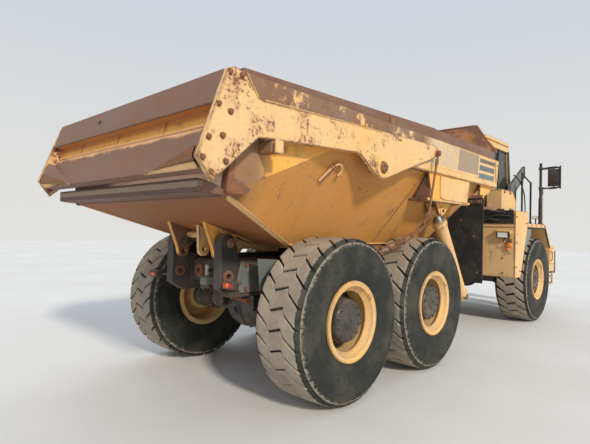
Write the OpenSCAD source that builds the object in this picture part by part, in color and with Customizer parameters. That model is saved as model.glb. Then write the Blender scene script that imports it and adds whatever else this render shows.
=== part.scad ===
// Six-wheeled articulated dump truck with an overhead-arm tailgate.
// Lengths are in millimetres. +X is forward, +Y is the driver's left, +Z is up.
// The rear unit is drawn from the rear axle, the front unit from the front axle,
// and z = 0 is the ground.

/* [Wheels] */
// Distance between the two rear axles
tandem = 1700; // [1660:10:1760]
// Distance from the middle axle to the front axle
wheelbase = 4350; // [4300:10:4500]
// Distance between the left and right tyre centres
track = 2330; // [2310:10:2380]
// Height of every axle, which is the radius at the lug faces
axle_z = 800; // [790:1:810]
// Width of a tyre over its sidewalls
tyre_w = 600; // [580:5:620]
// Depth of the tread lugs
lug_h = 38; // [20:1:45]
// Radius of the rim flange
rim_r = 390; // [370:1:400]
// Radius of an axle tube
axle_r = 120; // [100:5:130]

/* [Dump body] */
// Height of the flat floor's underside
floor_z = 1505; // [1500:5:1560]
// Height where the sloping sides meet the side rails
rail_z = 2400; // [2350:10:2450]
// Height of the body's top edge
top_z = 2800; // [2760:10:2850]
// Half width of the flat floor
floor_half = 830; // [780:10:840]
// Half width over the upper sides, inside the rails
side_half = 1360; // [1340:5:1370]
// Depth of a side rail, outwards
rail_d = 80; // [60:5:90]
// Thickness of the body's plates
plate = 40; // [25:1:60]
// Front end of the floor
floor_front_x = 2500; // [2400:10:2600]
// Front end of the side rails
rail_front_x = 3800; // [3700:10:3850]
// Height of the spill board over the body's top edge
board_h = 650; // [500:10:700]
// Rear end of the side walls
wall_end_x = -1500; // [-1520:10:-1450]
// Height of the tail's underside at the rear end of the side walls
tail_z = 1905; // [1850:5:1950]
// Length of the tail's lip behind the side walls
lip_len = 190; // [150:5:220]

/* [Dump hinge and hoist] */
// Position of the dump hinge
dump_x = -760; // [-790:5:-730]
// Height of the dump hinge
dump_z = 1520; // [1500:5:1540]
// Distance of both hoist pins inside the upper sides
hoist_in = 130; // [110:5:140]
// Hoist pin on the body
hoist_top_x = 2100; // [2080:5:2130]
// Height of the hoist pin on the body
hoist_top_z = 1950; // [1930:5:1970]
// Distance of the hoist's foot ahead of the middle axle
hoist_foot_ahead = 1250; // [1240:5:1280]
// Height of the hoist pin on the frame
hoist_foot_z = 750; // [730:5:760]
// Outside radius of the hoist barrel
barrel_r = 86; // [84:1:88]

/* [Tailgate] */
// Position of the tailgate pivot
gate_pivot_x = 340; // [300:10:380]
// Height of the tailgate pivot
gate_pivot_z = 2300; // [2280:5:2320]
// Thickness of a tailgate arm
arm_t = 40; // [30:1:50]
// Clearance between a tailgate arm and the side rail
arm_gap = 20; // [10:1:30]
// Depth of a tailgate arm
arm_h = 270; // [240:5:300]
// Pin at the front end of the tailgate arm
link_pin_x = 1510; // [1480:10:1540]
// Height of the pin at the front end of the tailgate arm
link_pin_z = 2600; // [2560:10:2640]
// Length of the rod on that pin
link_len = 780; // [740:10:800]
// Distance of the chain's anchor behind the middle axle
anchor_back = 720; // [700:10:740]
// Height of the chain's anchor
anchor_z = 1460; // [1440:5:1480]

/* [Frames and hitch] */
// Distance of the steering pivot behind the front axle
hitch_back = 1500; // [1450:10:1520]
// Height of the oscillation axis
hitch_z = 1000; // [980:5:1020]
// Height of the rear frame's rails at the top
rear_rail_top = 1360; // [1330:5:1370]
// Depth of the rear frame's rails
rear_rail_h = 380; // [340:10:400]
// Sideways position of the rails of both frames
rail_mid = 420; // [400:5:430]
// Width of a rail
rail_w = 110; // [90:5:120]

/* [Front unit] */
// Half width of the cab
cab_half = 800; // [760:10:820]
// Rear wall of the cab, behind the front axle
cab_back = 1150; // [1100:10:1180]
// Length of the cab
cab_len = 1500; // [1450:10:1550]
// Height of the cab floor
cab_floor_z = 1900; // [1870:10:1950]
// Height of the cab from its floor to the roof
cab_h = 1600; // [1500:10:1650]
// Thickness of the cab's posts and walls
wall = 60; // [50:5:70]
// Half width over the fenders
fender_half = 1460; // [1450:5:1480]
// Height of the fender decks
deck_z = 1860; // [1840:10:1900]
// Half width of the hood
hood_half = 780; // [700:10:800]
// Height of the hood at the cab
hood_top_z = 2250; // [2150:10:2300]
// Front face of the hood, ahead of the front axle
hood_front = 1950; // [1900:10:2000]
// Front face of the bumper, ahead of the front axle
nose = 2250; // [2150:10:2350]
// Half width of the bumper
bumper_half = 1250; // [1150:10:1300]

/* [Hidden] */
$fn = 48;

// Paint colours
paint = "#e0a030";
pale_paint = "#e8c878";
bare_steel = "#6f625c";
dark_steel = "#2c2c2c";
rubber = "#3c4240";
chrome_rod = "#c8c8c8";
tint = "#3a4a48";
light_grey = "#8a9290";

// Gap between pieces that are bolted or welded together, and of a running fit
seam = 0.2;

// Derived places
mid_axle_x = tandem;
front_axle_x = tandem + wheelbase;
hitch_x = front_axle_x - hitch_back;
wheel_y = track / 2;
rail_y = side_half + rail_d;
arm_y = rail_y + arm_gap;
link_y = arm_y + arm_t + 30;
rear_rail_bottom = rear_rail_top - rear_rail_h;
rail_in = rail_mid - rail_w / 2;
rail_out = rail_mid + rail_w / 2;
gate_rear_x = wall_end_x - 350;
mid_x = (front_axle_x + nose + gate_rear_x) / 2;
roof_z = cab_floor_z + cab_h;
SIDES = [1, -1];

// A plate with an [x, z] outline, standing between two sideways positions
module slab(outline, y_low, y_high)
    translate([0, y_high, 0]) rotate([90, 0, 0]) linear_extrude(y_high - y_low) polygon(outline);

// A plate with an [x, y] outline, lying between two heights
module deck(outline, z_low, z_high)
    translate([0, 0, z_low]) linear_extrude(z_high - z_low) polygon(outline);

// A solid with a [y, z] outline, running from one x to another
module bar(outline, x_low, x_high)
    translate([x_low, 0, 0]) rotate([90, 0, 90]) linear_extrude(x_high - x_low) polygon(outline);

// A box from its low corner to its high corner
module block(low, high) translate(low) cube(high - low);

// A cylinder along Y, centred on y
module pin_y(x, y, z, r, len) translate([x, y, z]) rotate([90, 0, 0]) cylinder(h = len, r = r, center = true);

// A cylinder along X, starting at x
module pin_x(x, y, z, r, len) translate([x, y, z]) rotate([0, 90, 0]) cylinder(h = len, r = r);

// A cylinder along Z, starting at z
module pin_z(x, y, z, r, len) translate([x, y, z]) cylinder(h = len, r = r);

// A round bar between two points
module rod(a, b, r) {
    d = b - a;
    len = norm(d);
    translate(a) rotate([0, acos(d[2] / len), atan2(d[1], d[0])]) cylinder(h = len, r = r);
}

// Points of an arc about a centre, from one angle to another
function arc(cx, cy, r, from, to, n = 6) = [for (i = [0 : n]) let (a = from + (to - from) * i / n) [cx + r * cos(a), cy + r * sin(a)]];

// An outline mirrored about its first coordinate
function both_ways(points) = concat(points, [for (i = [len(points) - 1 : -1 : 0]) [-points[i][0], points[i][1]]]);

// Both sides of the machine
module both() for (s = SIDES) mirror([0, s < 0 ? 1 : 0, 0]) children();

// One side of the machine, 1 is left and -1 is right
module one(side) mirror([0, side < 0 ? 1 : 0, 0]) children();

// Wheels
rim_half = tyre_w / 2 - 74;
module tyre(x, side) {
    half = tyre_w / 2;
    color(rubber) one(side) translate([x, wheel_y, axle_z]) rotate([90, 0, 0])
        rotate_extrude($fn = 72) polygon([
            [rim_r - 35, -rim_half + 2], [rim_r + 40, -rim_half - 20], [rim_r + 90, -half + 10], [axle_z - 190, -half],
            [axle_z - 90, -half + 14], [axle_z - lug_h, -half + 40], [axle_z, -half + 62],
            [axle_z, half - 62], [axle_z - lug_h, half - 40], [axle_z - 90, half - 14],
            [axle_z - 190, half], [rim_r + 90, half - 10], [rim_r + 40, rim_half + 20], [rim_r - 35, rim_half - 2],
        ]);
}

hub_in = 190;
module rim(x, side) {
    seat_r = rim_r - 35 - seam;
    color(pale_paint) one(side) translate([x, wheel_y, axle_z]) rotate([90, 0, 0]) {
        // barrel with a flange on either side
        rotate_extrude($fn = 64) polygon([
            [seat_r, -rim_half + 2], [seat_r, rim_half - 2], [seat_r, rim_half + 8], [rim_r, rim_half + 24], [rim_r, rim_half + 36],
            [rim_r - 55, rim_half + 36], [rim_r - 75, rim_half - 30], [rim_r - 75, -rim_half + 30],
            [rim_r - 55, -rim_half - 36], [rim_r, -rim_half - 36], [rim_r, -rim_half - 24], [seat_r, -rim_half - 8],
        ]);
        // disc and final drive hub
        rotate_extrude($fn = 64) polygon([
            [0, -215], [120, -215], [175, -195], [200, -150], [205, -40], [240, -20], [rim_r - 70, -10],
            [rim_r - 70, 20], [230, 25], [215, 60], [hub_in, hub_in], [0, hub_in],
        ]);
    }
}

// Drive axles, with the housing's bulge at the differential
axle_half = wheel_y - hub_in - seam;
module axle(x) {
    side = [[axle_r, -280], [axle_r + 60, -235], [axle_r * 2, -150], [axle_r * 2 + 20, -70]];
    color(dark_steel) translate([x, 0, axle_z]) rotate([90, 0, 0]) rotate_extrude($fn = 48)
        polygon(concat([[0, -axle_half], [axle_r + 30, -axle_half], [axle_r + 30, -axle_half + 60], [axle_r, -axle_half + 90]], side,
                       [for (i = [3 : -1 : 0]) [side[i][0], -side[i][1]]],
                       [[axle_r, axle_half - 90], [axle_r + 30, axle_half - 60], [axle_r + 30, axle_half], [0, axle_half]]));
}

// Torque rods from a rear drive axle to the bracket between the axles, dir is the way they point
torque_y = 230;
torque_z = axle_z - 160;
module torque_rods(x, dir) {
    reach = tandem / 2 - 60 - seam;
    color(dark_steel) both() pin_x(dir > 0 ? x + 60 : x - reach, torque_y, torque_z, 32, reach - 60);
}

module rear_axle() {
    axle(0);
    torque_rods(0, 1);
}

module middle_axle() {
    axle(mid_axle_x);
    torque_rods(mid_axle_x, -1);
}

module front_axle() axle(front_axle_x);

// Rear frame
hoist_y = side_half - hoist_in;
hoist_foot_x = mid_axle_x + hoist_foot_ahead;
anchor_x = mid_axle_x - anchor_back;
equalizer_z = rear_rail_top - 280;
nose_back = 950;
hinge_front_x = dump_x + 150;
tie_hole = [dump_x + 10, 1190];
module rear_rails() {
    front = hitch_x - nose_back;
    back = hinge_front_x + seam;
    color(dark_steel) both() {
        slab([[back, rear_rail_top], [front - 450, rear_rail_top], [front, hitch_z + 190], [front, hitch_z - 170], [front - 450, hoist_foot_z],
              [hoist_foot_x - 150, hoist_foot_z], [hoist_foot_x - 400, rear_rail_bottom], [back, rear_rail_bottom]], rail_in, rail_out);
        // equalizer pin
        pin_y(tandem / 2, rail_out + 105, equalizer_z, 60, 230);
    }
}

// Ends of the rails, with the dump hinge pins and the tie-down holes
module rear_hinges() color(dark_steel) both() {
    difference() {
        slab(concat([[dump_x - 85, rear_rail_bottom + 90]], arc(dump_x, dump_z, 85, 180, 0, 8), [[hinge_front_x, rear_rail_top], [hinge_front_x, rear_rail_bottom], [dump_x + 60, rear_rail_bottom]]), rail_in, rail_out);
        pin_y(tie_hole[0], rail_mid, tie_hole[1], 30, rail_w + 10);
    }
    pin_y(dump_x, rail_in - 20, dump_z, 35, 2 * rail_w + 70);
    pin_y(dump_x, rail_out + 12, dump_z, 50, 24);
}

module rear_crossmembers() {
    half = rail_in - seam;
    color(dark_steel) {
        // [x, length, low, high]
        for (c = [[dump_x + 190, 130, 1080, 1320], [tandem / 2 - 80, 160, 1080, 1320], [hoist_foot_x - 250, 160, 1000, 1300]])
            block([c[0], -half, c[2]], [c[0] + c[1], half, c[3]]);
        // bracket of the torque rods
        both() block([tandem / 2 - 60, torque_y - 45, torque_z - 50], [tandem / 2 + 60, torque_y + 45, 1090]);
    }
}

// Arms that carry the hoists, and those that anchor the tailgate chains
module rear_outriggers() color(dark_steel) both() {
    block([hoist_foot_x - 70, rail_out + seam, hoist_foot_z - 80], [hoist_foot_x + 70, hoist_y - barrel_r - 12, hoist_foot_z + 80]);
    pin_y(hoist_foot_x, hoist_y - 35, hoist_foot_z, 34, 160);
    block([anchor_x - 35, rail_out + seam, rear_rail_top - 60], [anchor_x + 35, wheel_y - 145, rear_rail_top]);
    // ears and pin that hold the last chain link
    translate([chain_foot[0], chain_foot[1], 0]) rotate([0, 0, chain_az]) {
        for (y = [-32, 20]) slab([[-32, rear_rail_top - 60], [32, rear_rail_top - 60], [20, anchor_z + 22], [-20, anchor_z + 22]], y, y + 12);
        pin_y(chain_play - 9 - seam, 0, anchor_z - sin(chain_dip(chain_links - 1)) * 9, 9, 60);
    }
}

// Nose that carries the oscillation tube and the shaft's bearing
tube_r = 200;
shaft_r = 142;
module rear_nose() {
    back = hitch_x - nose_back + seam;
    color(dark_steel) {
        difference() {
            union() {
                block([back, -rail_out, hitch_z - 170], [back + 90, rail_out, hitch_z + 190]);
                pin_x(back, 0, hitch_z, tube_r, 560 - 2 * seam);
                both() slab([[back + 80, hitch_z - 60], [back + 380, hitch_z - 30], [back + 380, hitch_z + 30], [back + 80, hitch_z + 60]], tube_r - 20, rail_out - 40);
            }
            pin_x(back - 10, 0, hitch_z, shaft_r, 700);
        }
        block([back - 30, -90, axle_z - 90], [back + 50, 90, hitch_z - 150]);
    }
}

module equalizer_beams() {
    pad_z = axle_z + axle_r + seam;
    mid = tandem / 2;
    color(light_grey) both() difference() {
        slab([[-140, pad_z], [140, pad_z], [320, pad_z + 40], [tandem - 320, pad_z + 40], [tandem - 140, pad_z], [tandem + 140, pad_z],
              [tandem + 140, pad_z + 90], [tandem - 200, pad_z + 140], [mid + 110, equalizer_z + 105], [mid - 110, equalizer_z + 105], [200, pad_z + 140], [-140, pad_z + 90]],
             rail_out + 65, rail_out + 185);
        pin_y(mid, rail_out + 125, equalizer_z, 60 + seam, 200);
    }
}

module rear_shafts() {
    bulge = axle_r * 2 + 20 + seam;
    color(dark_steel) {
        pin_x(bulge, 0, axle_z, 55, tandem - 2 * bulge);
        pin_x(mid_axle_x + bulge, 0, axle_z, 60, hitch_x - nose_back - 30 - mid_axle_x - bulge);
    }
}

// Yoke between the two frames
steer_z = hitch_z + 330;
steer_rear = [hitch_x - 300, 200];
steer_front = [hitch_x + 750, 300];
steer_turn = atan2(steer_front[1] - steer_rear[1], steer_front[0] - steer_rear[0]);
steer_len = norm(steer_front - steer_rear);
module hitch() {
    back = hitch_x - 390;
    color(dark_steel) {
        pin_x(back - 500, 0, hitch_z, shaft_r - seam, 520);
        pin_x(back, 0, hitch_z, 230, 80);
        difference() {
            union() {
                block([back + 70, -150, hitch_z - 130], [hitch_x, 150, hitch_z + 130]);
                pin_z(hitch_x, 0, hitch_z - 130, 150, 260);
            }
            pin_z(hitch_x, 0, hitch_z - 200, 60 + seam, 400);
        }
        // forks of the steering cylinders
        both() {
            block([back, steer_rear[1] - 70, hitch_z + 130], [back + 36, steer_rear[1] + 70, steer_z + 95]);
            for (z = [steer_z - 95, steer_z + 60])
                block([back, steer_rear[1] - 70, z], [steer_rear[0] + 50, steer_rear[1] + 70, z + 35]);
            pin_z(steer_rear[0], steer_rear[1], steer_z - 90, 20, 180);
        }
    }
}

// Steering cylinders
module steer_barrel(side) {
    color(paint) one(side) translate([steer_rear[0], steer_rear[1], steer_z]) rotate([0, 0, steer_turn]) difference() {
        union() {
            pin_z(0, 0, -55, 46, 110);
            pin_x(20, 0, 0, 60, 700);
        }
        pin_z(0, 0, -70, 20 + seam, 140);
        pin_x(240, 0, 0, 32 + seam, 500);
    }
}

module steer_rod(side) {
    color(chrome_rod) one(side) translate([steer_rear[0], steer_rear[1], steer_z]) rotate([0, 0, steer_turn]) {
        pin_x(520, 0, 0, 32, steer_len - 550);
        // eye with its pin
        pin_z(steer_len, 0, -40, 46, 80);
        pin_z(steer_len, 0, -42, 24, 84);
    }
}

// Dump body
// The tub is a straight trough with a flared tail behind the fold
fold_x = -300;
wall_top_x = wall_end_x + 40;
tail_rise = (tail_z - floor_z) / (fold_x - wall_end_x);
front_lean = 380 / 400;
module trough(t, start, over)
    intersection() {
        bar(both_ways([[floor_half - t * 0.75, floor_z + t], [side_half - t, rail_z], [side_half - t, top_z + over]]), start, rail_front_x + 200);
        slab([[start, floor_z + t], [floor_front_x - t / 2, floor_z + t], [rail_front_x - 400 - t * 1.4, rail_z],
              [rail_front_x - 400 - t * 1.4 + (top_z + over - rail_z) * front_lean, top_z + over], [start, top_z + over]], -side_half - 50, side_half + 50);
    }

// Tail, whose plates end inside the trough's by a small step
step = 1.5;
behind = 400;
tail_half = side_half - 20;
module tail_hull(t, ends)
    hull() for (e = ends)
        bar(both_ways([[e[1], e[2]], [side_half - t - step, rail_z], [side_half - t - step, top_z - step + (t > 0 ? 90 : 0)]]), e[0], e[0] + 1);
// [x, half width, z] of the lower corners
tail_outside = [[fold_x + 9, floor_half - step, floor_z + step], [wall_end_x, tail_half, tail_z]];
tail_inside = [[fold_x + 9, floor_half - plate * 0.75 - step, floor_z + plate + step], [wall_end_x - 20, tail_half - plate * 1.2, tail_z + plate + 10],
               [wall_end_x - behind, tail_half - plate * 1.2, tail_z + plate + behind * tail_rise]];

// Outside of the sloping side at a height
function side_at(z) = floor_half + (z - floor_z) / (rail_z - floor_z) * (side_half - floor_half);

bracket_z = hoist_top_z + 105;
module dump_body() {
    color(paint) {
        difference() {
            union() {
                trough(0, fold_x, 0);
                tail_hull(0, tail_outside);
            }
            trough(plate, fold_x - 2, 100);
            tail_hull(plate, tail_inside);
            slab([[wall_end_x - 50, tail_z - 1], [wall_end_x - 2, tail_z - 1], [wall_top_x, rail_z], [wall_top_x, top_z + 10], [wall_end_x - 50, top_z + 10]], -side_half - 10, side_half + 10);
        }
        // lip of the tail
        difference() {
            slab([[wall_end_x + 20, tail_z - 6], [wall_end_x + 20, tail_z + plate - 6], [wall_end_x - lip_len, tail_z + 110], [wall_end_x - lip_len, tail_z + 10]],
                 -side_half + 25, side_half - 25);
            for (s = SIDES) translate([wall_end_x - lip_len, s * (side_half - 20), tail_z]) rotate([0, 0, 45]) cube([90, 90, 500], center = true);
        }
        both() {
            // hinge lugs, with the empty hole of the body lock
            difference() {
                union() {
                    slab([[dump_x - 190, side_at_tail(dump_x - 190) + 20], [dump_x + 230, side_at_tail(dump_x + 230) + 20], [dump_x + 75, dump_z - 60], [dump_x + 62, 1410], [dump_x - 62, 1410], [dump_x - 75, dump_z - 60]], rail_in - 80, rail_in - 20);
                    pin_y(dump_x, rail_in - 50, 1410, 62, 60);
                }
                pin_y(dump_x, rail_in - 50, dump_z, 35 + seam, 80);
                pin_y(dump_x, rail_in - 50, 1405, 30, 80);
            }
            // hoist brackets
            block([hoist_top_x - 620, side_at(bracket_z) - 12, bracket_z], [hoist_top_x + 640, rail_y - 20, bracket_z + 30]);
            for (y = [hoist_y - 81, hoist_y + 53]) slab([[hoist_top_x - 200, bracket_z + 10], [hoist_top_x + 300, bracket_z + 10], [hoist_top_x + 75, hoist_top_z - 40], [hoist_top_x, hoist_top_z - 75], [hoist_top_x - 75, hoist_top_z - 40]], y, y + 28);
            slab([[hoist_top_x - 500, bracket_z + 15], [hoist_top_x + 550, bracket_z + 15], [hoist_top_x + 640, rail_z - 5], [hoist_top_x - 600, rail_z - 5]], rail_y - 45, rail_y - 20);
            // hanger of the mud flap
            block([3190, floor_half + 60, 2180], [3240, rail_y - 10, 2230]);
            slab([[3190, 2180], [3260, 2180], [rail_front_x - 30, rail_z - 5], [3190, rail_z - 5]], side_half, side_half + 30);
            // rest of the tailgate arm
            block([wall_end_x + 310, side_at(2240) - 6, 2240], [wall_end_x + 385, arm_y + arm_t, 2329]);
            // pads that rest on the frame
            for (x = [500, 2250]) block([x, rail_in, rear_rail_top + seam], [x + 200, rail_out, floor_z + 10]);
        }
        // ribs under the floor
        for (x = [200, 1150, 1900]) block([x, -floor_half + 20, floor_z - 60], [x + 70, floor_half - 20, floor_z + 10]);
    }
}
function side_at_tail(x) = floor_z + (fold_x - x) * tail_rise;

module body_rails() {
    strip = [[wall_end_x + 100, 40], [1700, 140], [rail_front_x - 60, 130]];
    color(pale_paint) both() {
        slab([[wall_end_x + 100, rail_z + 40], [rail_front_x - 100, rail_z], [rail_front_x, top_z], [wall_end_x + 100, top_z]], side_half + seam, rail_y);
        // upper strip along the top edge
        slab(concat([[wall_end_x + 100, top_z + seam]], [for (p = strip) [p[0], top_z + p[1]]], [[rail_front_x - 90, top_z + seam]]), side_half - plate, side_half + 20);
        slab(concat([[wall_end_x + 100, top_z - 10]], [for (p = strip) [p[0], top_z + p[1]]], [[rail_front_x - 90, top_z - 10]]), side_half + 10, side_half + 40);
        // bracket and pin of the tailgate pivot
        slab([[180, rail_z + 45], [500, rail_z + 45], [gate_pivot_x + 70, gate_pivot_z - 50], [gate_pivot_x - 70, gate_pivot_z - 50]], rail_y - 60, rail_y);
        pin_y(gate_pivot_x, rail_y + 35, gate_pivot_z, 44, 110);
    }
}

module spill_board() {
    foot_x = rail_front_x - 70;
    lean = 170;
    color(bare_steel) intersection() {
        slab([[foot_x, top_z + seam], [foot_x + 45, top_z + seam], [foot_x + 45 + lean, top_z + board_h], [foot_x + lean, top_z + board_h]], -rail_y, rail_y);
        bar(both_ways([[side_half - plate - seam, top_z], [side_half - plate - seam, top_z + 131], [side_half + 50, top_z + 131], [side_half + 50, top_z + 180],
                       [side_half - 360, top_z + board_h]]), foot_x - 100, foot_x + 800);
    }
}

module mud_flaps() {
    color(rubber) both() block([3200, floor_half + 60, 930], [3228, rail_y - 10, 2180 - seam]);
}

// Tailgate
arm_outline = concat(
    [[-1730, 1970], [-1850, 2130], [-1620, 2760], [-1560, 2785], [-1470, 2770], [-1330, 2615], [-1290, 2330 + arm_h],
     [gate_pivot_x, gate_pivot_z + 365], [1480, 2690], [1575, 2665], [1600, 2610], [1560, 2575]],
    [[400, 2195], [340, 2180], [290, 2190], [-10, 2380], [-80, 2395]],
    arc(-1290, 2260, 75, 90, 140, 3));
module tailgate_arms() {
    color(pale_paint) both() {
        difference() {
            slab(arm_outline, arm_y, arm_y + arm_t);
            pin_y(gate_pivot_x, arm_y, gate_pivot_z, 44 + seam, 200);
        }
        pin_y(link_pin_x, arm_y + arm_t + 25, link_pin_z, 15, 50);
    }
}

// [x, z] section of the gate: beam over the recess, strip, and lower panel
gate_section = [[-1705, 2040], [-1790, 2062], [-1650, 2385], [-1618, 2500], [-1700, 2515], [-1622, 2762], [-1500, 2762]];
module tailgate_panel() {
    half = arm_y - seam;
    color(paint) {
        slab(gate_section, -half, half);
        // corner gussets, standing off the lower panel
        both() hull() {
            block([-1838, half - 12, 2120], [-1828, half, 2150]);
            block([-1762, half - 12, 2310], [-1752, half, 2330]);
            block([-1785, half - 620, 2075], [-1770, half - 600, 2085]);
            block([-1700, half - 12, 2300], [-1690, half, 2320]);
        }
    }
}

// Pull rods, and the slack chain that hangs from each to the frame along an arc
link_turn = 16.3;
chain_links = 8;
chain_sag = 100;
chain_wire = 20;
chain_hole = 32;
chain_top = [link_pin_x - link_len * sin(link_turn), link_y, link_pin_z - link_len * cos(link_turn)];
chain_foot = [anchor_x, wheel_y - 180, anchor_z];
chain_az = atan2(chain_foot[1] - chain_top[1], chain_foot[0] - chain_top[0]);
chain_chord = norm(chain_foot - chain_top);
chain_fall = asin((chain_foot[2] - chain_top[2]) / chain_chord);
chain_r = chain_chord * chain_chord / 8 / chain_sag + chain_sag / 2;
chain_half = asin(chain_chord / 2 / chain_r);
chain_turn = 2 * chain_half / chain_links;
chain_pitch = 2 * chain_r * sin(chain_turn / 2);
chain_play = chain_wire / 4 * sin(chain_turn) + seam;
function chain_dip(i) = chain_fall - chain_half + chain_turn * (i + 0.5);
function chain_point(i) = i == 0 ? [0, 0, 0] : chain_point(i - 1) + chain_pitch * [cos(chain_dip(i - 1)), 0, sin(chain_dip(i - 1))];
module chain_link() {
    inner = chain_pitch / 2 + chain_play;
    outer = inner + chain_wire;
    half = chain_hole / 2 + chain_wire;
    linear_extrude(chain_wire, center = true) difference() {
        polygon([[-outer, -half + 18], [-outer + 18, -half], [outer - 18, -half], [outer, -half + 18], [outer, half - 18], [outer - 18, half], [-outer + 18, half], [-outer, half - 18]]);
        square([2 * inner, chain_hole], center = true);
    }
}

module on_chain() translate(chain_top) rotate([0, 0, chain_az]) children();
module gate_links() color(bare_steel) both() difference() {
    union() {
        translate([link_pin_x, link_y, link_pin_z]) rotate([0, link_turn, 0]) {
            translate([0, 0, -link_len]) cylinder(h = link_len - 20, r = 13);
            rotate([90, 0, 0]) cylinder(h = 32, r = 36, center = true);
            translate([0, 0, -140]) cylinder(h = 60, r = 20);
            translate([0, 0, -link_len + 20]) cylinder(h = 90, r = 20);
        }
        on_chain() pin_y(-(chain_wire / 2 + chain_play) * cos(chain_dip(0)), 0, -(chain_wire / 2 + chain_play) * sin(chain_dip(0)), 36, 18);
    }
    pin_y(link_pin_x, link_y, link_pin_z, 15 + seam, 60);
    on_chain() pin_y(-(chain_wire / 2 + chain_play) * cos(chain_dip(0)), 0, -(chain_wire / 2 + chain_play) * sin(chain_dip(0)), chain_wire * 0.73, 80);
}

module gate_chains() color(bare_steel) both() on_chain()
    for (i = [0 : chain_links - 1])
        translate((chain_point(i) + chain_point(i + 1)) / 2) rotate([0, -chain_dip(i), 0]) rotate([i % 2 * 90, 0, 0]) chain_link();

// Hoist cylinders, nested tubes along their own axis
hoist_dx = hoist_top_x - hoist_foot_x;
hoist_dz = hoist_top_z - hoist_foot_z;
hoist_len = norm([hoist_dx, hoist_dz]);
hoist_tilt = atan2(hoist_dx, hoist_dz);
module on_hoist() both() translate([hoist_foot_x, hoist_y, hoist_foot_z]) rotate([0, hoist_tilt, 0]) children();

module hoist_barrels() {
    color(pale_paint) on_hoist() difference() {
        union() {
            rotate([90, 0, 0]) cylinder(h = 80, r = 75, center = true);
            translate([0, 0, 30]) cylinder(h = hoist_len - 190, r = barrel_r);
        }
        rotate([90, 0, 0]) cylinder(h = 200, r = 34 + seam, center = true);
        translate([0, 0, 120]) cylinder(h = hoist_len, r = barrel_r - 15);
    }
}

// [outside radius, bore radius, start, end short of the rod's eye]
tube_size = [barrel_r - 15 - seam, barrel_r - 28, 121, 135];
sleeve_size = [barrel_r - 28 - seam, barrel_r - 43, 138, 110];
rod_size = [barrel_r - 43 - seam, 0, 155, 60];
module hoist_tube(size) {
    difference() {
        translate([0, 0, size[2]]) cylinder(h = hoist_len - size[2] - size[3], r = size[0]);
        if (size[1] > 0) translate([0, 0, size[2] + 15]) cylinder(h = hoist_len, r = size[1]);
    }
}

module hoist_tubes() { color(chrome_rod) on_hoist() hoist_tube(tube_size); }
module hoist_sleeves() { color(chrome_rod) on_hoist() hoist_tube(sleeve_size); }
module hoist_rods() {
    color(chrome_rod) on_hoist() {
        hoist_tube(rod_size);
        // eye with its pin
        translate([0, 0, hoist_len]) rotate([90, 0, 0]) cylinder(h = 74, r = 66, center = true);
        translate([0, 0, hoist_len]) rotate([90, 0, 0]) cylinder(h = 104, r = 34, center = true);
    }
}

// Front frame, drawn from the front axle
module at_front() translate([front_axle_x, 0, 0]) children();
front_top = 1180;
front_bottom = 960;
fork_depth = 142;
pivot = -hitch_back;
module front_rails() at_front() {
    color(dark_steel) both() {
        slab([[pivot + 220, hitch_z - 220], [pivot + 220, hitch_z + 240], [pivot + 420, front_top], [nose - 240, front_top], [nose - 240, front_bottom],
              [pivot + 500, front_bottom], [pivot + 350, hitch_z - 220]], rail_in, rail_out);
        // seat of the axle
        block([-60, rail_in, axle_z + axle_r + seam], [60, rail_out, front_bottom + 10]);
        // fork of the steering rod
        fork = [steer_front[0] - front_axle_x, steer_front[1]];
        block([fork[0] - 90, fork[1] - 60, front_top - 60], [fork[0] + fork_depth, rail_mid, steer_z - 42 - seam]);
        block([fork[0] - 90, fork[1] - 60, steer_z + 42 + seam], [fork[0] + fork_depth, rail_mid, steer_z + 70]);
        block([fork[0] + fork_depth - 15, fork[1] - 60, steer_z - 60], [fork[0] + fork_depth, rail_mid, steer_z + 60]);
    }
}

module front_crossmembers() at_front() {
    half = rail_in - seam;
    color(dark_steel) {
        // head with the lugs and the pin of the steering pivot
        block([pivot + 220, -half, hitch_z - 220], [pivot + 330, half, hitch_z + 240]);
        for (z = [hitch_z - 220, hitch_z + 130 + seam]) {
            block([pivot, -130, z], [pivot + 230, 130, z + 90 - seam]);
            pin_z(pivot, 0, z, 130, 90 - seam);
        }
        pin_z(pivot, 0, hitch_z - 235, 60, 475);
        // [x, length]
        for (c = [[-600, 120], [450, 120], [nose - 450, 150]])
            block([c[0], -half, front_bottom + 10], [c[0] + c[1], half, front_top]);
    }
}

// Outriggers of the boxes, the cab posts and the steps
post_x = -cab_back + 30;
module front_outriggers() at_front() {
    out = rail_out + seam;
    color(dark_steel) both() {
        block([-1270, out, 1120], [-1150, 860, 1220]);
        block([post_x, out, 1080], [post_x + 100, cab_half, 1180]);
        block([post_x, cab_half - 100, 1080], [post_x + 100, cab_half, cab_floor_z - seam]);
        block([cab_len - cab_back - 110, rail_in, front_top + seam], [cab_len - cab_back - 10, rail_out + 20, cab_floor_z - seam]);
        block([850, out, 1050], [950, 1060, 1150]);
    }
}

module engine() at_front() {
    color(light_grey) block([-350, -rail_in + 10, front_top + seam], [1400, rail_in - 10, deck_z]);
}

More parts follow.
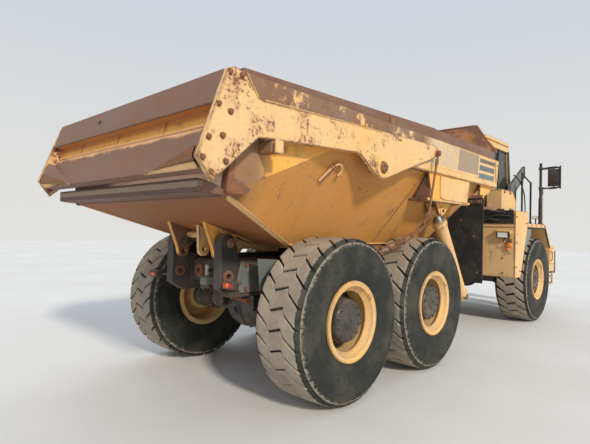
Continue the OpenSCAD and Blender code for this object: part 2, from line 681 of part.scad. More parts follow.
// Hood, [x, z] side outline and [y, z] end outline
hood_back = cab_len - cab_back + 60;
hood_low = 1360;
hinge = [hood_front + 10, 1330];
function hood_side(t) = [
    [hood_back - (t > 0 ? 100 : 0), 1480 - 3 * t], [hood_back - (t > 0 ? 100 : 0), hood_top_z - t], [850, hood_top_z - 20 - t], [1550, hood_top_z - 190 - t],
    [hood_front - 110 - t, hood_top_z - 350 - t], [hood_front - t, hood_top_z - 550], [hood_front - t, hood_low - 3 * t], [950, hood_low - 3 * t], [850, 1480 - 3 * t],
];
module hood_form(t) intersection() {
    slab(hood_side(t), -hood_half, hood_half);
    bar(both_ways([[hood_half - t, 1100], [hood_half - t, hood_top_z - 480], [hood_half - 90 - t, hood_top_z - 120], [hood_half - 220 - t, hood_top_z - t / 2]]), -200, 3000);
}

module hood() at_front() {
    color(pale_paint) difference() {
        hood_form(0);
        hood_form(35);
        // mouth of the grille
        block([hood_front - 80, -560, 1430], [hood_front + 50, 560, 1700]);
    }
    // hinge eyes
    color(dark_steel) both() difference() {
        union() {
            pin_y(hinge[0], 500, hinge[1], 26, 40);
            block([hood_front - 30, 480, hinge[1] - 5], [hood_front + 8, 520, 1430]);
        }
        pin_y(hinge[0], 500, hinge[1], 14 + seam, 60);
    }
}

module grille() at_front() {
    color(dark_steel) {
        for (z = [1430 + seam : 54 : 1655]) block([hood_front - 35, -560 + seam, z], [hood_front - 10, 560 - seam, z + 22]);
        for (y = [-560 + seam, -190, 170, 540 - seam]) block([hood_front - 50, y, 1430 + seam], [hood_front - 34, y + 20, 1700 - seam]);
    }
}

module bumper() at_front() {
    color(dark_steel) {
        difference() {
            deck([[nose - 400, -bumper_half], [nose - 180, -bumper_half], [nose - 30, -bumper_half + 350],
                  [nose - 30, bumper_half - 350], [nose - 180, bumper_half], [nose - 400, bumper_half]], 800, 1300);
            block([nose - 500, -bumper_half + 50, 860], [nose - 240 + seam, bumper_half - 50, 1240]);
            // pocket and hole of the towing pin
            block([nose - 190, -90, 960], [nose + 100, 90, 1120]);
            pin_z(nose - 100, 0, 700, 25, 700);
        }
        // hinge pins of the hood
        both() {
            pin_y(hinge[0], 515, hinge[1], 14, 80);
            block([hinge[0] - 8, 521, 1290], [hinge[0] + 30, 555, hinge[1] + 20]);
        }
    }
}

// Fender, with the arch over the wheel
arch_back = 780;
module fenders() at_front() {
    color(pale_paint) both() {
        slab(concat([[-1450, deck_z + 170], [-1450, deck_z + 200], [-750, deck_z + 200], [-750, deck_z]],
                    arc(360, deck_z - 70, 70, 90, 45, 3), [[760, 1420], [735, 1400]],
                    arc(350, deck_z - 90, 55, 45, 90, 3), [[-arch_back, deck_z - 35], [-arch_back, deck_z + 170]]), cab_half + 30, fender_half);
        slab([[-1450, 920], [-1450, deck_z + 170], [-arch_back, deck_z + 170], [-arch_back, 1810], [-1150, 940], [-1160, 920]], fender_half - 28, fender_half);
    }
}

module side_boxes() at_front() {
    color(pale_paint) both() {
        slab([[-1450, 930], [-1450, 1840], [-825, 1840], [-1165, 930]], 860 + seam, fender_half - 28 - seam);
        // hood of the work lamp
        slab([[-1530, 1700], [-1530, 1712], [-1449, 1740], [-1449, 1700]], 1150, 1390);
    }
}

module step_boxes() at_front() {
    color(pale_paint) both() block([910, 1060 + seam, 900], [1300, 1400, 1430]);
    color(dark_steel) both() for (z = [620, 760]) {
        block([950, 1100, z], [1270, 1390, z + 30]);
        for (x = [950, 1240]) block([x, 1360, z], [x + 30, 1390, z + 150]);
    }
}

// Cab, drawn from the front axle
cab_rear = -cab_back;
cab_front = cab_len - cab_back;
sill_z = cab_floor_z + 0.41 * cab_h;
head_z = roof_z - 190;
door_x = [cab_rear + 220, cab_front - 320];
door_low = deck_z + 215;
// [x, z] side outline, t inside it
function cab_side(t) = concat(
    [[cab_rear + t, cab_floor_z + t], [cab_rear + t, roof_z - 150]],
    arc(cab_rear + 120 + t / 2, roof_z - 120 - t / 2, 120 - t / 2, 180, 90, 4),
    arc(cab_front - 300 - t / 2, roof_z - 100 - t / 2, 100 - t / 2, 90, 15, 4),
    [[cab_front - t, sill_z], [cab_front - t, cab_floor_z + t]]);
window_side = [[cab_rear + 180, sill_z], [cab_rear + 180, head_z], [cab_front - 250, head_z], [cab_front - 130, sill_z]];
module rear_pane(x_low, x_high) block([x_low, -cab_half + 180, sill_z - 60], [x_high, cab_half - 180, head_z]);
module front_pane(thick)
    intersection() {
        slab([[cab_front - 45, sill_z], [cab_front - 45 + thick, sill_z], [cab_front - 205 + thick, head_z + 30], [cab_front - 205, head_z + 30]], -cab_half, cab_half);
        bar(both_ways([[cab_half - 110, sill_z], [cab_half - 150, head_z + 30]]), cab_front - 300, cab_front + 100);
    }

module cab_shell() at_front() {
    color(pale_paint) difference() {
        union() {
            slab(cab_side(0), -cab_half, cab_half);
            // roof overhang
            slab(concat([[cab_rear - 20, roof_z - 60]], arc(cab_rear + 40, roof_z - 50, 50, 150, 90, 3), [[cab_front - 280, roof_z], [cab_front - 190, roof_z - 40], [cab_front - 190, roof_z - 60]]), -cab_half - 20, cab_half + 20);
        }
        slab(cab_side(wall), -cab_half + wall, cab_half - wall);
        // door opening on the left
        block([door_x[0], cab_half - 100, door_low - 8], [door_x[1], cab_half + 10, head_z + 50]);
        // right window, rear window and windscreen
        slab(window_side, -cab_half - 10, -cab_half + 100);
        rear_pane(cab_rear - 10, cab_rear + 100);
        bar(both_ways([[cab_half - 110, sill_z], [cab_half - 150, head_z + 30]]), cab_front - 230, cab_front + 100);
    }
}

module cab_glass() at_front() {
    color(tint) {
        slab(window_side, -cab_half + 22, -cab_half + 34);
        rear_pane(cab_rear + 20, cab_rear + 32);
        front_pane(12);
    }
}

door_top = head_z + 42;
module door_pane(y_low, y_high) block([door_x[0] + 90, y_low, sill_z], [door_x[1] - 90, y_high, head_z - 30]);
module cab_door() at_front() {
    color(pale_paint) difference() {
        block([door_x[0] + 6, cab_half - 50, door_low], [door_x[1] - 6, cab_half, door_top]);
        door_pane(cab_half - 60, cab_half + 10);
    }
    // hinges
    color(dark_steel) for (z = [cab_floor_z + 250, door_top - 250]) {
        pin_z(door_x[0], cab_half + 15, z, 15 - 1.5 * seam, 110);
        block([door_x[0] + 6, cab_half - 1, z], [door_x[0] + 90, cab_half + 12, z + 110]);
    }
}

module door_glass() at_front() {
    color(tint) door_pane(cab_half - 32, cab_half - 20);
}

module cab_interior() at_front() {
    z = cab_floor_z + wall + seam;
    color(dark_steel) {
        // seat
        block([-700, -230, z], [-250, 230, z + 240]);
        block([-720, -260, z + 240], [-180, 260, z + 380]);
        slab([[-720, z + 380], [-600, z + 380], [-720, z + 1020], [-820, z + 1020]], -240, 240);
        // dash and steering wheel
        slab([[50, z], [50, z + 500], [150, z + 640], [cab_front - wall - 10, z + 580], [cab_front - wall - 10, z]], -cab_half + 200, cab_half - 200);
        rod([80, 0, z + 500], [-40, 0, z + 700], 28);
        translate([-40, 0, z + 700]) rotate([0, -31, 0]) rotate_extrude($fn = 36) translate([200, 0]) circle(r = 16);
        rod([-40, -195, z + 700], [-40, 195, z + 700], 12);
        // side console
        block([-650, -cab_half + 160, z], [-100, -330, z + 460]);
    }
}

module air_box() at_front() {
    color(pale_paint) slab([[-1150, deck_z + 200 + seam], [-1150, deck_z + 600], [-550, deck_z + 600], [-350, deck_z + 440], [-350, deck_z + seam], [-750 + seam, deck_z + seam], [-750 + seam, deck_z + 200 + seam]], -1120, -860);
}

// Folded screen ahead of the cab on the right
module guard_screen() at_front() {
    color(light_grey) slab([[10, deck_z + seam], [10, 2650], [870, 3120], [950, 3120], [950, 2900], [380, 2560], [380, deck_z + seam]], -885, -860);
    color(dark_steel) pin_z(10, -872, deck_z + seam, 22, 800);
}

module mirrors() at_front() {
    x = 150;
    y = fender_half - 40;
    color(dark_steel) both() {
        pin_z(x, y, deck_z + seam, 24, 1200);
        for (z = [2560, 2940]) rod([x, y, z], [x, y + 350, z + 20], 14);
        rod([x, y + 340, 2550], [x, y + 340, 2990], 14);
        block([x - 22, y + 130, 2600], [x + 20, y + 320, 2930]);
        for (z = [2575, 2925]) block([x - 8, y + 215, z], [x + 8, y + 235, z + 40]);
    }
}

// Handrails, the left one ahead of the swing of the door
module handrails() at_front() {
    // [side, rear post, front post]
    color(dark_steel) for (h = [[1, 130, 340], [-1, -250, 300]]) one(h[0]) {
        pin_z(h[1], 1200, deck_z + seam, 18, 1000);
        pin_z(h[2], 1200, deck_z + seam, 18, 860);
        rod([h[1] - 5, 1200, 2830], [h[2] + 5, 1200, 2690], 14);
    }
}

module lamps() at_front() {
    color(dark_steel) both() {
        block([-1510, 1170, 1590], [-1450 - seam, 1370, 1698]);
        block([nose - 30 + seam, 500, 950], [nose, 760, 1120]);
    }
}

translate([-mid_x, 0, 0]) {
    rear_rails();
    rear_crossmembers();
    rear_nose();
    rear_outriggers();
    rear_hinges();
    rear_axle();
    middle_axle();
    equalizer_beams();
    rear_shafts();
    hitch();
    tyre(0, 1);  // tyre_rear_left
    tyre(0, -1);  // tyre_rear_right
    tyre(mid_axle_x, 1);  // tyre_middle_left
    tyre(mid_axle_x, -1);  // tyre_middle_right
    tyre(front_axle_x, 1);  // tyre_front_left
    tyre(front_axle_x, -1);  // tyre_front_right
    rim(0, 1);  // rim_rear_left
    rim(0, -1);  // rim_rear_right
    rim(mid_axle_x, 1);  // rim_middle_left
    rim(mid_axle_x, -1);  // rim_middle_right
    rim(front_axle_x, 1);  // rim_front_left
    rim(front_axle_x, -1);  // rim_front_right
    dump_body();
    body_rails();
    spill_board();
    mud_flaps();
    tailgate_panel();
    tailgate_arms();
    gate_links();
    gate_chains();
    hoist_barrels();
    hoist_tubes();
    hoist_sleeves();
    hoist_rods();
    front_rails();
    front_crossmembers();
    front_outriggers();
    front_axle();
    steer_barrel(1);  // steer_barrel_left
    steer_barrel(-1);  // steer_barrel_right
    steer_rod(1);  // steer_rod_left
    steer_rod(-1);  // steer_rod_right
    engine();
    hood();
    grille();
    bumper();
    fenders();
    side_boxes();
    step_boxes();
    cab_shell();
    cab_glass();
    cab_door();
    door_glass();
    cab_interior();
    air_box();
    guard_screen();
    mirrors();
    handrails();
    lamps();
}
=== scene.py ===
"""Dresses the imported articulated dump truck: camera, stage, finishes, tyre treads, bolts and trim."""
import random
from math import atan2, copysign, cos, pi, radians, sin

import bpy
from bpy.props import FloatProperty, FloatVectorProperty, IntProperty, PointerProperty
from mathutils import Matrix, Vector, noise


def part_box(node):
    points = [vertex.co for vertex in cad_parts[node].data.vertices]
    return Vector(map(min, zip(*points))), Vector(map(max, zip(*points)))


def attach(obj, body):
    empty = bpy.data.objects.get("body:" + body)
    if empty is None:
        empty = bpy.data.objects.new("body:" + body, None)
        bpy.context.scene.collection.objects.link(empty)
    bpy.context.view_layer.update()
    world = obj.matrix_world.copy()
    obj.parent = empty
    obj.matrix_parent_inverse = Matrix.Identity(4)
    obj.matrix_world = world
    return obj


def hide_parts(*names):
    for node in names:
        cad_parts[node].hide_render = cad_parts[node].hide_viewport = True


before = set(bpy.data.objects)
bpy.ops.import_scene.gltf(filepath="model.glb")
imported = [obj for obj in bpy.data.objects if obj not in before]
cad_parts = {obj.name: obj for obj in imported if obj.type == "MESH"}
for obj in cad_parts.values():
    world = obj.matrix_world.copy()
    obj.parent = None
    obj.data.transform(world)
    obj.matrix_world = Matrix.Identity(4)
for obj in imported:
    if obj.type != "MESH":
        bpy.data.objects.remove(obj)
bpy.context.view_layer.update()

bl_info = {
    "name": "Articulated Dump Truck Dressing",
    "version": (1, 0, 0),
    "blender": (4, 5, 0),
    "location": "3D View > Sidebar > Dump Truck",
    "description": "Finishes, treads, bolts and trim for the packed articulated dump truck",
    "category": "Object",
}


def middle(node):
    """Centre of a CAD node's box."""
    low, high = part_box(node)
    return (low + high) / 2


def extent(node, axis):
    """Size of a CAD node's box along one axis."""
    low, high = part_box(node)
    return high[axis] - low[axis]


# Places are given from the rear axle and the ground, and moved into the row's frame by at().
REAR = middle("rim_rear_left").x
WHEELS = {name: middle("rim_" + name) for name in (axle + side for axle in ("rear", "middle", "front")
    for side in ("_left", "_right"))}
AXLE_Z = WHEELS["rear_left"].z
TANDEM = WHEELS["middle_left"].x - REAR
FRONT = WHEELS["front_left"].x - REAR
TYRE_R = extent("tyre_rear_left", 2) / 2
TYRE_W = extent("tyre_rear_left", 1)
RIM_R = extent("rim_rear_left", 2) / 2
RAIL_Y = 1.44
ARM_Y = 1.5
TUB = {"floor_half": 0.83, "floor_z": 1.505, "side_half": 1.36, "rail_z": 2.4}
SIDES = (1, -1)
# radius at which a turned form closes
TIP = 0.0005


def at(x, y, z):
    """A place given from the rear axle, in the row's frame."""
    return Vector((x + REAR, y, z))


def ahead(x, y, z):
    """A place given from the front axle, in the row's frame."""
    return at(x + FRONT, y, z)


def tub_side(z):
    """Half width of the tub's sloping side at a height."""
    share = (z - TUB["floor_z"]) / (TUB["rail_z"] - TUB["floor_z"])
    return TUB["floor_half"] + share * (TUB["side_half"] - TUB["floor_half"])


# Settings that a user would change


def colour_setting(name, description, default):
    """A colour that a user can change."""
    return FloatVectorProperty(name=name, description=description, default=default, subtype="COLOR", size=3,
        min=0, max=1)


class DumpTruckColours(bpy.types.PropertyGroup):
    """Colours of the paint, rust and dust."""

    body: colour_setting("Body paint", "Orange yellow of the tub and gate", (0.86, 0.4, 0.06))
    pale: colour_setting("Faded paint", "Sun-bleached cream yellow of the rails, cab and wheels",
        (0.76, 0.45, 0.165))
    chassis: colour_setting("Chassis paint", "Dark paint of the frames and axles", (0.028, 0.029, 0.028))
    grey: colour_setting("Grey paint", "Grey green paint of beams and the engine", (0.13, 0.15, 0.14))
    rust: colour_setting("Rust", "Rust on chips, edges and bare steel", (0.15, 0.062, 0.03))
    steel: colour_setting("Worn steel", "Brown grey of steel rubbed bare by the load", (0.19, 0.13, 0.1))
    dust: colour_setting("Dust", "Pale road dust", (0.44, 0.37, 0.29))
    rubber: colour_setting("Rubber", "Dark grey green of the tyre walls", (0.02, 0.023, 0.02))


class DumpTruckTyres(bpy.types.PropertyGroup):
    """Sizes of the tread."""

    bars: IntProperty(name="Bars", description="Tread bars round a rear tyre", min=16, max=32, default=27)
    front_bars: IntProperty(name="Front bars", description="Tread bars round a front tyre", min=16, max=36,
        default=26)
    groove: FloatProperty(name="Groove depth", description="Depth of the worn tread's grooves",
        unit="LENGTH", min=0.005, max=0.04, default=0.03)
    zigzag: FloatProperty(name="Zigzag",
        description="How far a bar steps round the tyre, as a share of the pitch", min=0, max=1.5,
        default=0.85)


# Shader building


class Nodes:
    """Short ways to place and join nodes in one shader tree."""

    def __init__(self, tree):
        self.tree = tree

    def new(self, kind, **settings):
        """A node of a kind, with its settings."""
        made = self.tree.nodes.new(kind)
        for name, value in settings.items():
            setattr(made, name, value)
        return made

    def put(self, value, socket):
        """Links an output to a socket, or sets the socket's own value. A colour may come without alpha."""
        if isinstance(value, bpy.types.NodeSocket):
            self.tree.links.new(value, socket)
        elif socket.type == "RGBA" and len(value) == 3:
            socket.default_value = (*value, 1.0)
        else:
            socket.default_value = value

    def place(self):
        """Coordinates in the object's own frame, which is the row's frame."""
        return self.new("ShaderNodeTexCoord").outputs["Object"]

    def reckon(self, operation, a, b=0.0, clamp=False):
        """One step of arithmetic. Clamped, its result stays between 0 and 1."""
        made = self.new("ShaderNodeMath", operation=operation, use_clamp=clamp)
        self.put(a, made.inputs[0])
        self.put(b, made.inputs[1])
        return made.outputs[0]

    # short names of the steps that are used most

    def times(self, a, b, clamp=False):
        return self.reckon("MULTIPLY", a, b, clamp)

    def plus(self, a, b, clamp=False):
        return self.reckon("ADD", a, b, clamp)

    def less(self, a, b, clamp=False):
        return self.reckon("SUBTRACT", a, b, clamp)

    def most(self, a, b, clamp=False):
        return self.reckon("MAXIMUM", a, b, clamp)

    def absolute(self, a):
        return self.reckon("ABSOLUTE", a)

    def ramp(self, value, low, high, start=0.0, end=1.0):
        """A smooth step of the value from low to high."""
        made = self.new("ShaderNodeMapRange", interpolation_type="SMOOTHSTEP")
        for index, item in enumerate((value, low, high, start, end)):
            self.put(item, made.inputs[index])
        return made.outputs[0]

    def mix(self, share, a, b, blend="MIX"):
        """A mix of two colours."""
        made = self.new("ShaderNodeMix", data_type="RGBA", blend_type=blend)
        self.put(share, made.inputs[0])
        self.put(a, made.inputs[6])
        self.put(b, made.inputs[7])
        return made.outputs[2]

    def stretched(self, vector, scale):
        """A vector whose three parts are scaled apart."""
        made = self.new("ShaderNodeVectorMath", operation="MULTIPLY")
        self.put(vector, made.inputs[0])
        made.inputs[1].default_value = scale
        return made.outputs[0]

    def noise(self, vector, scale, detail=4.0, rough=0.55):
        """Cloudy noise from 0 to 1."""
        made = self.new("ShaderNodeTexNoise")
        self.put(vector, made.inputs["Vector"])
        self.put(scale, made.inputs["Scale"])
        made.inputs["Detail"].default_value = detail
        made.inputs["Roughness"].default_value = rough
        return made.outputs["Fac"]

    def split(self, vector):
        """The three parts of a vector."""
        made = self.new("ShaderNodeSeparateXYZ")
        self.put(vector, made.inputs[0])
        return made.outputs


def shader_group(name, inputs, outputs):
    """An empty node group with named sockets, as (group, nodes, input sockets, output node)."""
    group = bpy.data.node_groups.new(name, "ShaderNodeTree")
    kinds = {"colour": "NodeSocketColor", "value": "NodeSocketFloat", "vector": "NodeSocketVector"}
    for label, kind, default in inputs:
        socket = group.interface.new_socket(label, in_out="INPUT", socket_type=kinds[kind])
        socket.default_value = (*default, 1.0) if kind == "colour" else default
    for label, kind in outputs:
        group.interface.new_socket(label, in_out="OUTPUT", socket_type=kinds[kind])
    nodes = Nodes(group)
    entry, leave = nodes.new("NodeGroupInput"), nodes.new("NodeGroupOutput")
    return group, nodes, entry.outputs, leave.inputs


def patina_group():
    """Faded paint with rust spots, rubbed edges, streaks and dust."""
    group, n, i, o = shader_group("Patina",
        [("Paint", "colour", (0.6, 0.3, 0.06)), ("Faded", "colour", (0.75, 0.5, 0.2)),
        ("Rust", "colour", (0.2, 0.07, 0.03)), ("Dust", "colour", (0.45, 0.38, 0.3)),
        ("Fade", "value", 0.4), ("Spots", "value", 0.4), ("Edges", "value", 0.5), ("Streaks", "value", 0.4),
        ("Dust Cover", "value", 0.4), ("Gloss", "value", 0.5)],
        [("Colour", "colour"), ("Roughness", "value"), ("Height", "value"), ("Rusty", "value"),
        ("Normal", "vector")])
    place = n.place()
    surface = n.new("ShaderNodeNewGeometry")
    facing = n.split(surface.outputs["Normal"])
    height = n.split(place)[2]
    broad = n.noise(place, 0.9, 5.0, 0.6)
    patchy = n.noise(place, 4.5, 6.0, 0.62)
    fine = n.noise(place, 34.0, 6.0, 0.7)
    grain = n.noise(place, 160.0, 3.0, 0.6)
    # sun bleaching in broad drifts
    bleached = n.times(n.ramp(n.plus(broad, n.times(patchy, 0.35)), 0.45, 0.85), i["Fade"], clamp=True)
    colour = n.mix(bleached, i["Paint"], i["Faded"])
    colour = n.mix(n.times(n.ramp(fine, 0.35, 0.75), 0.16), colour, (0.09, 0.05, 0.02))
    # runs of rusty water
    run = n.noise(n.stretched(place, (13.0, 13.0, 0.9)), 1.6, 5.0, 0.65)
    run = n.times(n.ramp(run, 0.53, 0.72), n.ramp(patchy, 0.38, 0.62))
    run = n.times(run, i["Streaks"], clamp=True)
    colour = n.mix(n.times(run, 0.75), colour, n.mix(0.45, i["Rust"], (0.33, 0.17, 0.07)))
    # rubbed edges
    soft = n.new("ShaderNodeBevel", samples=6)
    soft.inputs["Radius"].default_value = 0.022
    turn = n.new("ShaderNodeVectorMath", operation="DOT_PRODUCT")
    n.put(soft.outputs[0], turn.inputs[0])
    n.put(surface.outputs["Normal"], turn.inputs[1])
    edge = n.ramp(n.less(1.0, turn.outputs["Value"]), 0.008, 0.09)
    edge = n.times(edge, n.ramp(n.plus(patchy, n.times(fine, 0.5)), 0.52, 0.82))
    edge = n.times(edge, i["Edges"], clamp=True)
    # chips and freckles that come in clusters
    freckle = n.ramp(n.plus(fine, n.times(n.less(patchy, 0.5), 0.9)),
        n.less(0.86, n.times(i["Spots"], 0.38)), n.less(0.93, n.times(i["Spots"], 0.36)))
    # larger worn patches with ragged rims
    patch = n.noise(n.stretched(place, (1.0, 1.0, 0.8)), 2.6, 9.0, 0.72)
    patch = n.ramp(patch, n.less(0.74, n.times(i["Spots"], 0.2)), n.less(0.8, n.times(i["Spots"], 0.2)))
    rusty = n.most(n.most(freckle, n.times(patch, 0.68)), edge)
    # brown film round the worn places
    film = n.times(n.ramp(n.plus(patchy, n.times(broad, 0.6)), 0.8, 1.1), i["Spots"], clamp=True)
    colour = n.mix(film, colour, n.mix(0.5, i["Rust"], (0.62, 0.3, 0.16)))
    rust_tone = n.mix(n.ramp(grain, 0.3, 0.7), i["Rust"], n.mix(0.5, i["Rust"], (0.42, 0.19, 0.1)))
    colour = n.mix(rusty, colour, rust_tone)
    # dust settles on what faces up and on what is near the ground
    up = n.ramp(facing[2], 0.35, 0.95)
    low = n.ramp(height, 1.5, 0.1)
    settled = n.most(n.times(up, 0.8), n.times(low, 0.75))
    settled = n.times(settled, n.ramp(n.plus(patchy, n.times(grain, 0.25)), 0.36, 0.78))
    settled = n.times(settled, i["Dust Cover"], clamp=True)
    colour = n.mix(settled, colour, i["Dust"])
    rough = n.plus(n.less(0.86, n.times(i["Gloss"], 0.5)), n.times(fine, 0.12))
    rough = n.most(rough, n.times(n.most(rusty, settled), 0.9), clamp=True)
    relief = n.less(n.times(fine, 0.35), n.times(rusty, 0.6))
    relief = n.plus(relief, n.times(patchy, 0.8))
    for label, value in (("Colour", colour), ("Roughness", rough), ("Height", relief), ("Rusty", rusty),
            ("Normal", soft.outputs[0])):
        n.put(value, o[label])
    return group


def rubbed_steel_group():
    """Steel scoured by loads: brown skin, scratches along the travel and dust in the low parts."""
    group, n, i, o = shader_group("Rubbed Steel", [("Steel", "colour", (0.14, 0.1, 0.08)),
        ("Rust", "colour", (0.2, 0.07, 0.03)), ("Dust", "colour", (0.45, 0.38, 0.3)),
        ("Rust Share", "value", 0.5), ("Dust Cover", "value", 0.3)],
        [("Colour", "colour"), ("Roughness", "value"), ("Height", "value")])
    place = n.place()
    facing = n.split(n.new("ShaderNodeNewGeometry").outputs["Normal"])
    broad = n.noise(place, 1.7, 6.0, 0.65)
    fine = n.noise(place, 26.0, 6.0, 0.7)
    scratch = n.noise(n.stretched(place, (1.2, 26.0, 26.0)), 2.4, 4.0, 0.6)
    colour = n.mix(n.ramp(n.plus(broad, n.times(fine, 0.4)), 0.5, 0.95), i["Steel"], i["Rust"])
    share = n.times(n.ramp(fine, 0.42, 0.62), i["Rust Share"])
    colour = n.mix(share, colour, n.mix(0.5, i["Rust"], (0.36, 0.17, 0.09)))
    colour = n.mix(n.times(n.ramp(scratch, 0.6, 0.72), 0.5), colour, (0.25, 0.22, 0.2))
    settled = n.times(n.times(n.ramp(facing[2], 0.2, 0.9), n.ramp(broad, 0.35, 0.65)), i["Dust Cover"],
        clamp=True)
    colour = n.mix(settled, colour, i["Dust"])
    rough = n.plus(0.52, n.times(fine, 0.4), clamp=True)
    n.put(colour, o["Colour"])
    n.put(rough, o["Roughness"])
    n.put(n.plus(n.times(broad, 0.8), n.times(scratch, 0.3)), o["Height"])
    return group


def tread_group():
    """Rubber with road dust on the tread and a ragged dusty shoulder."""
    group, n, i, o = shader_group("Road Rubber", [("Rubber", "colour", (0.05, 0.05, 0.05)),
        ("Dust", "colour", (0.45, 0.38, 0.3)), ("Dust Cover", "value", 0.8)],
        [("Colour", "colour"), ("Roughness", "value"), ("Height", "value")])
    place = n.place()
    worn = n.new("ShaderNodeAttribute", attribute_name="worn").outputs["Fac"]
    broad = n.noise(place, 3.2, 5.0, 0.6)
    fine = n.noise(place, 30.0, 6.0, 0.7)
    grain = n.noise(place, 190.0, 3.0, 0.7)
    ragged = n.plus(worn, n.times(n.less(fine, 0.5), 0.75))
    dusty = n.times(n.ramp(ragged, 0.62, 0.86), i["Dust Cover"])
    film = n.times(n.ramp(n.plus(broad, n.times(fine, 0.5)), 0.6, 0.98), 0.2)
    colour = n.mix(film, i["Rubber"], n.mix(0.5, i["Dust"], i["Rubber"]))
    tone = n.mix(n.ramp(n.plus(broad, n.times(fine, 0.6)), 0.5, 1.0), n.mix(0.02, i["Dust"], i["Rubber"]),
        n.mix(0.38, i["Dust"], i["Rubber"]))
    colour = n.mix(dusty, colour, tone)
    n.put(colour, o["Colour"])
    n.put(n.plus(0.62, n.times(n.most(dusty, fine), 0.33), clamp=True), o["Roughness"])
    n.put(n.plus(n.times(fine, 0.8), n.times(grain, 0.25)), o["Height"])
    return group


def place_group(nodes, group, **values):
    """Puts a group in a material with its own values."""
    made = nodes.new("ShaderNodeGroup", node_tree=group)
    for label, value in values.items():
        nodes.put(value, made.inputs[label.replace("_", " ")])
    return made.outputs


def shader_material(name):
    """A new material, as (material, nodes, its Principled shader)."""
    made = bpy.data.materials.new(name)
    made.use_nodes = True
    nodes = Nodes(made.node_tree)
    shader = made.node_tree.nodes["Principled BSDF"]
    return made, nodes, shader


def bump(nodes, shader, height, depth, normal=None):
    """Gives a shader fine relief of a depth in metres."""
    made = nodes.new("ShaderNodeBump")
    made.inputs["Strength"].default_value = 0.6
    made.inputs["Distance"].default_value = depth
    nodes.put(height, made.inputs["Height"])
    if normal is not None:
        nodes.put(normal, made.inputs["Normal"])
    nodes.put(made.outputs[0], shader.inputs["Normal"])


GROUPS = {}
FINISHES = {}


def colours():
    """The user's colours, by name."""
    return {name: tuple(getattr(bpy.context.scene.dump_truck_colours, name))
        for name in DumpTruckColours.__annotations__}


def painted(name, paint, faded, fade=0.4, spots=0.3, edges=0.6, streaks=0.3, dust=0.3, gloss=0.5,
        depth=0.003):
    """A weathered paint."""
    c = colours()
    made, n, shader = shader_material(name)
    out = place_group(n, GROUPS["patina"], Paint=paint, Faded=faded, Rust=c["rust"], Dust=c["dust"],
        Fade=fade, Spots=spots, Edges=edges, Streaks=streaks, Dust_Cover=dust, Gloss=gloss)
    n.put(out["Colour"], shader.inputs["Base Color"])
    n.put(out["Roughness"], shader.inputs["Roughness"])
    bump(n, shader, out["Height"], depth, out["Normal"])
    FINISHES[name] = made
    return made, n, shader, out


def rubbed(name, steel, rust, rust_share=0.5, dust=0.3, depth=0.004):
    """Bare steel scoured by loads."""
    made, n, shader = shader_material(name)
    out = place_group(n, GROUPS["steel"], Steel=steel, Rust=rust, Dust=colours()["dust"],
        Rust_Share=rust_share, Dust_Cover=dust)
    n.put(out["Colour"], shader.inputs["Base Color"])
    n.put(out["Roughness"], shader.inputs["Roughness"])
    shader.inputs["Metallic"].default_value = 0.25
    bump(n, shader, out["Height"], depth)
    FINISHES[name] = made
    return made, n, shader, out


def rail_bands(nodes, colour):
    """Faded grey band and slanted stripes near the front of the side rails."""
    place = nodes.split(nodes.place())
    speck = nodes.noise(nodes.place(), 22.0, 5.0, 0.7)
    along = nodes.less(place[0], REAR)
    outside = nodes.ramp(nodes.absolute(place[1]), RAIL_Y - 0.004, RAIL_Y - 0.001)
    lean = nodes.plus(along, nodes.times(nodes.less(place[2], 2.6), -0.18))

    def band(start, end, low=2.46, high=2.76, cover=0.9):
        """How much of a slanted band covers a place. It starts and ends at distances from the rear axle."""
        across = nodes.times(nodes.ramp(lean, start - 0.004, start + 0.004),
            nodes.ramp(lean, end + 0.004, end - 0.004))
        up = nodes.times(nodes.ramp(place[2], low - 0.003, low + 0.003),
            nodes.ramp(place[2], high + 0.003, high - 0.003))
        worn = nodes.ramp(speck, 0.74, 0.64)
        return nodes.times(nodes.times(nodes.times(across, up), nodes.times(worn, cover)), outside)

    # the band's rear half is rubbed away in upright streaks
    streak = nodes.noise(nodes.stretched(nodes.place(), (6.0, 2.0, 4.0)), 2.2, 9.0, 0.72)
    rubbed = nodes.times(band(1.42, 2.36, 2.495, 2.785, 0.72), nodes.ramp(streak, 0.3, 0.62))
    colour = nodes.mix(rubbed, colour, (0.44, 0.385, 0.32))
    colour = nodes.mix(band(2.3, 2.98, 2.495, 2.785, 0.8), colour, (0.235, 0.2, 0.165))
    for start, end, low, high, tone in ((3.02, 3.62, 2.692, 2.752, (0.07, 0.085, 0.105)),
            (3.02, 3.62, 2.577, 2.655, (0.055, 0.105, 0.155)),
            (3.02, 3.62, 2.462, 2.537, (0.07, 0.155, 0.195))):
        colour = nodes.mix(band(start, end, low, high), colour, tone)
    return colour


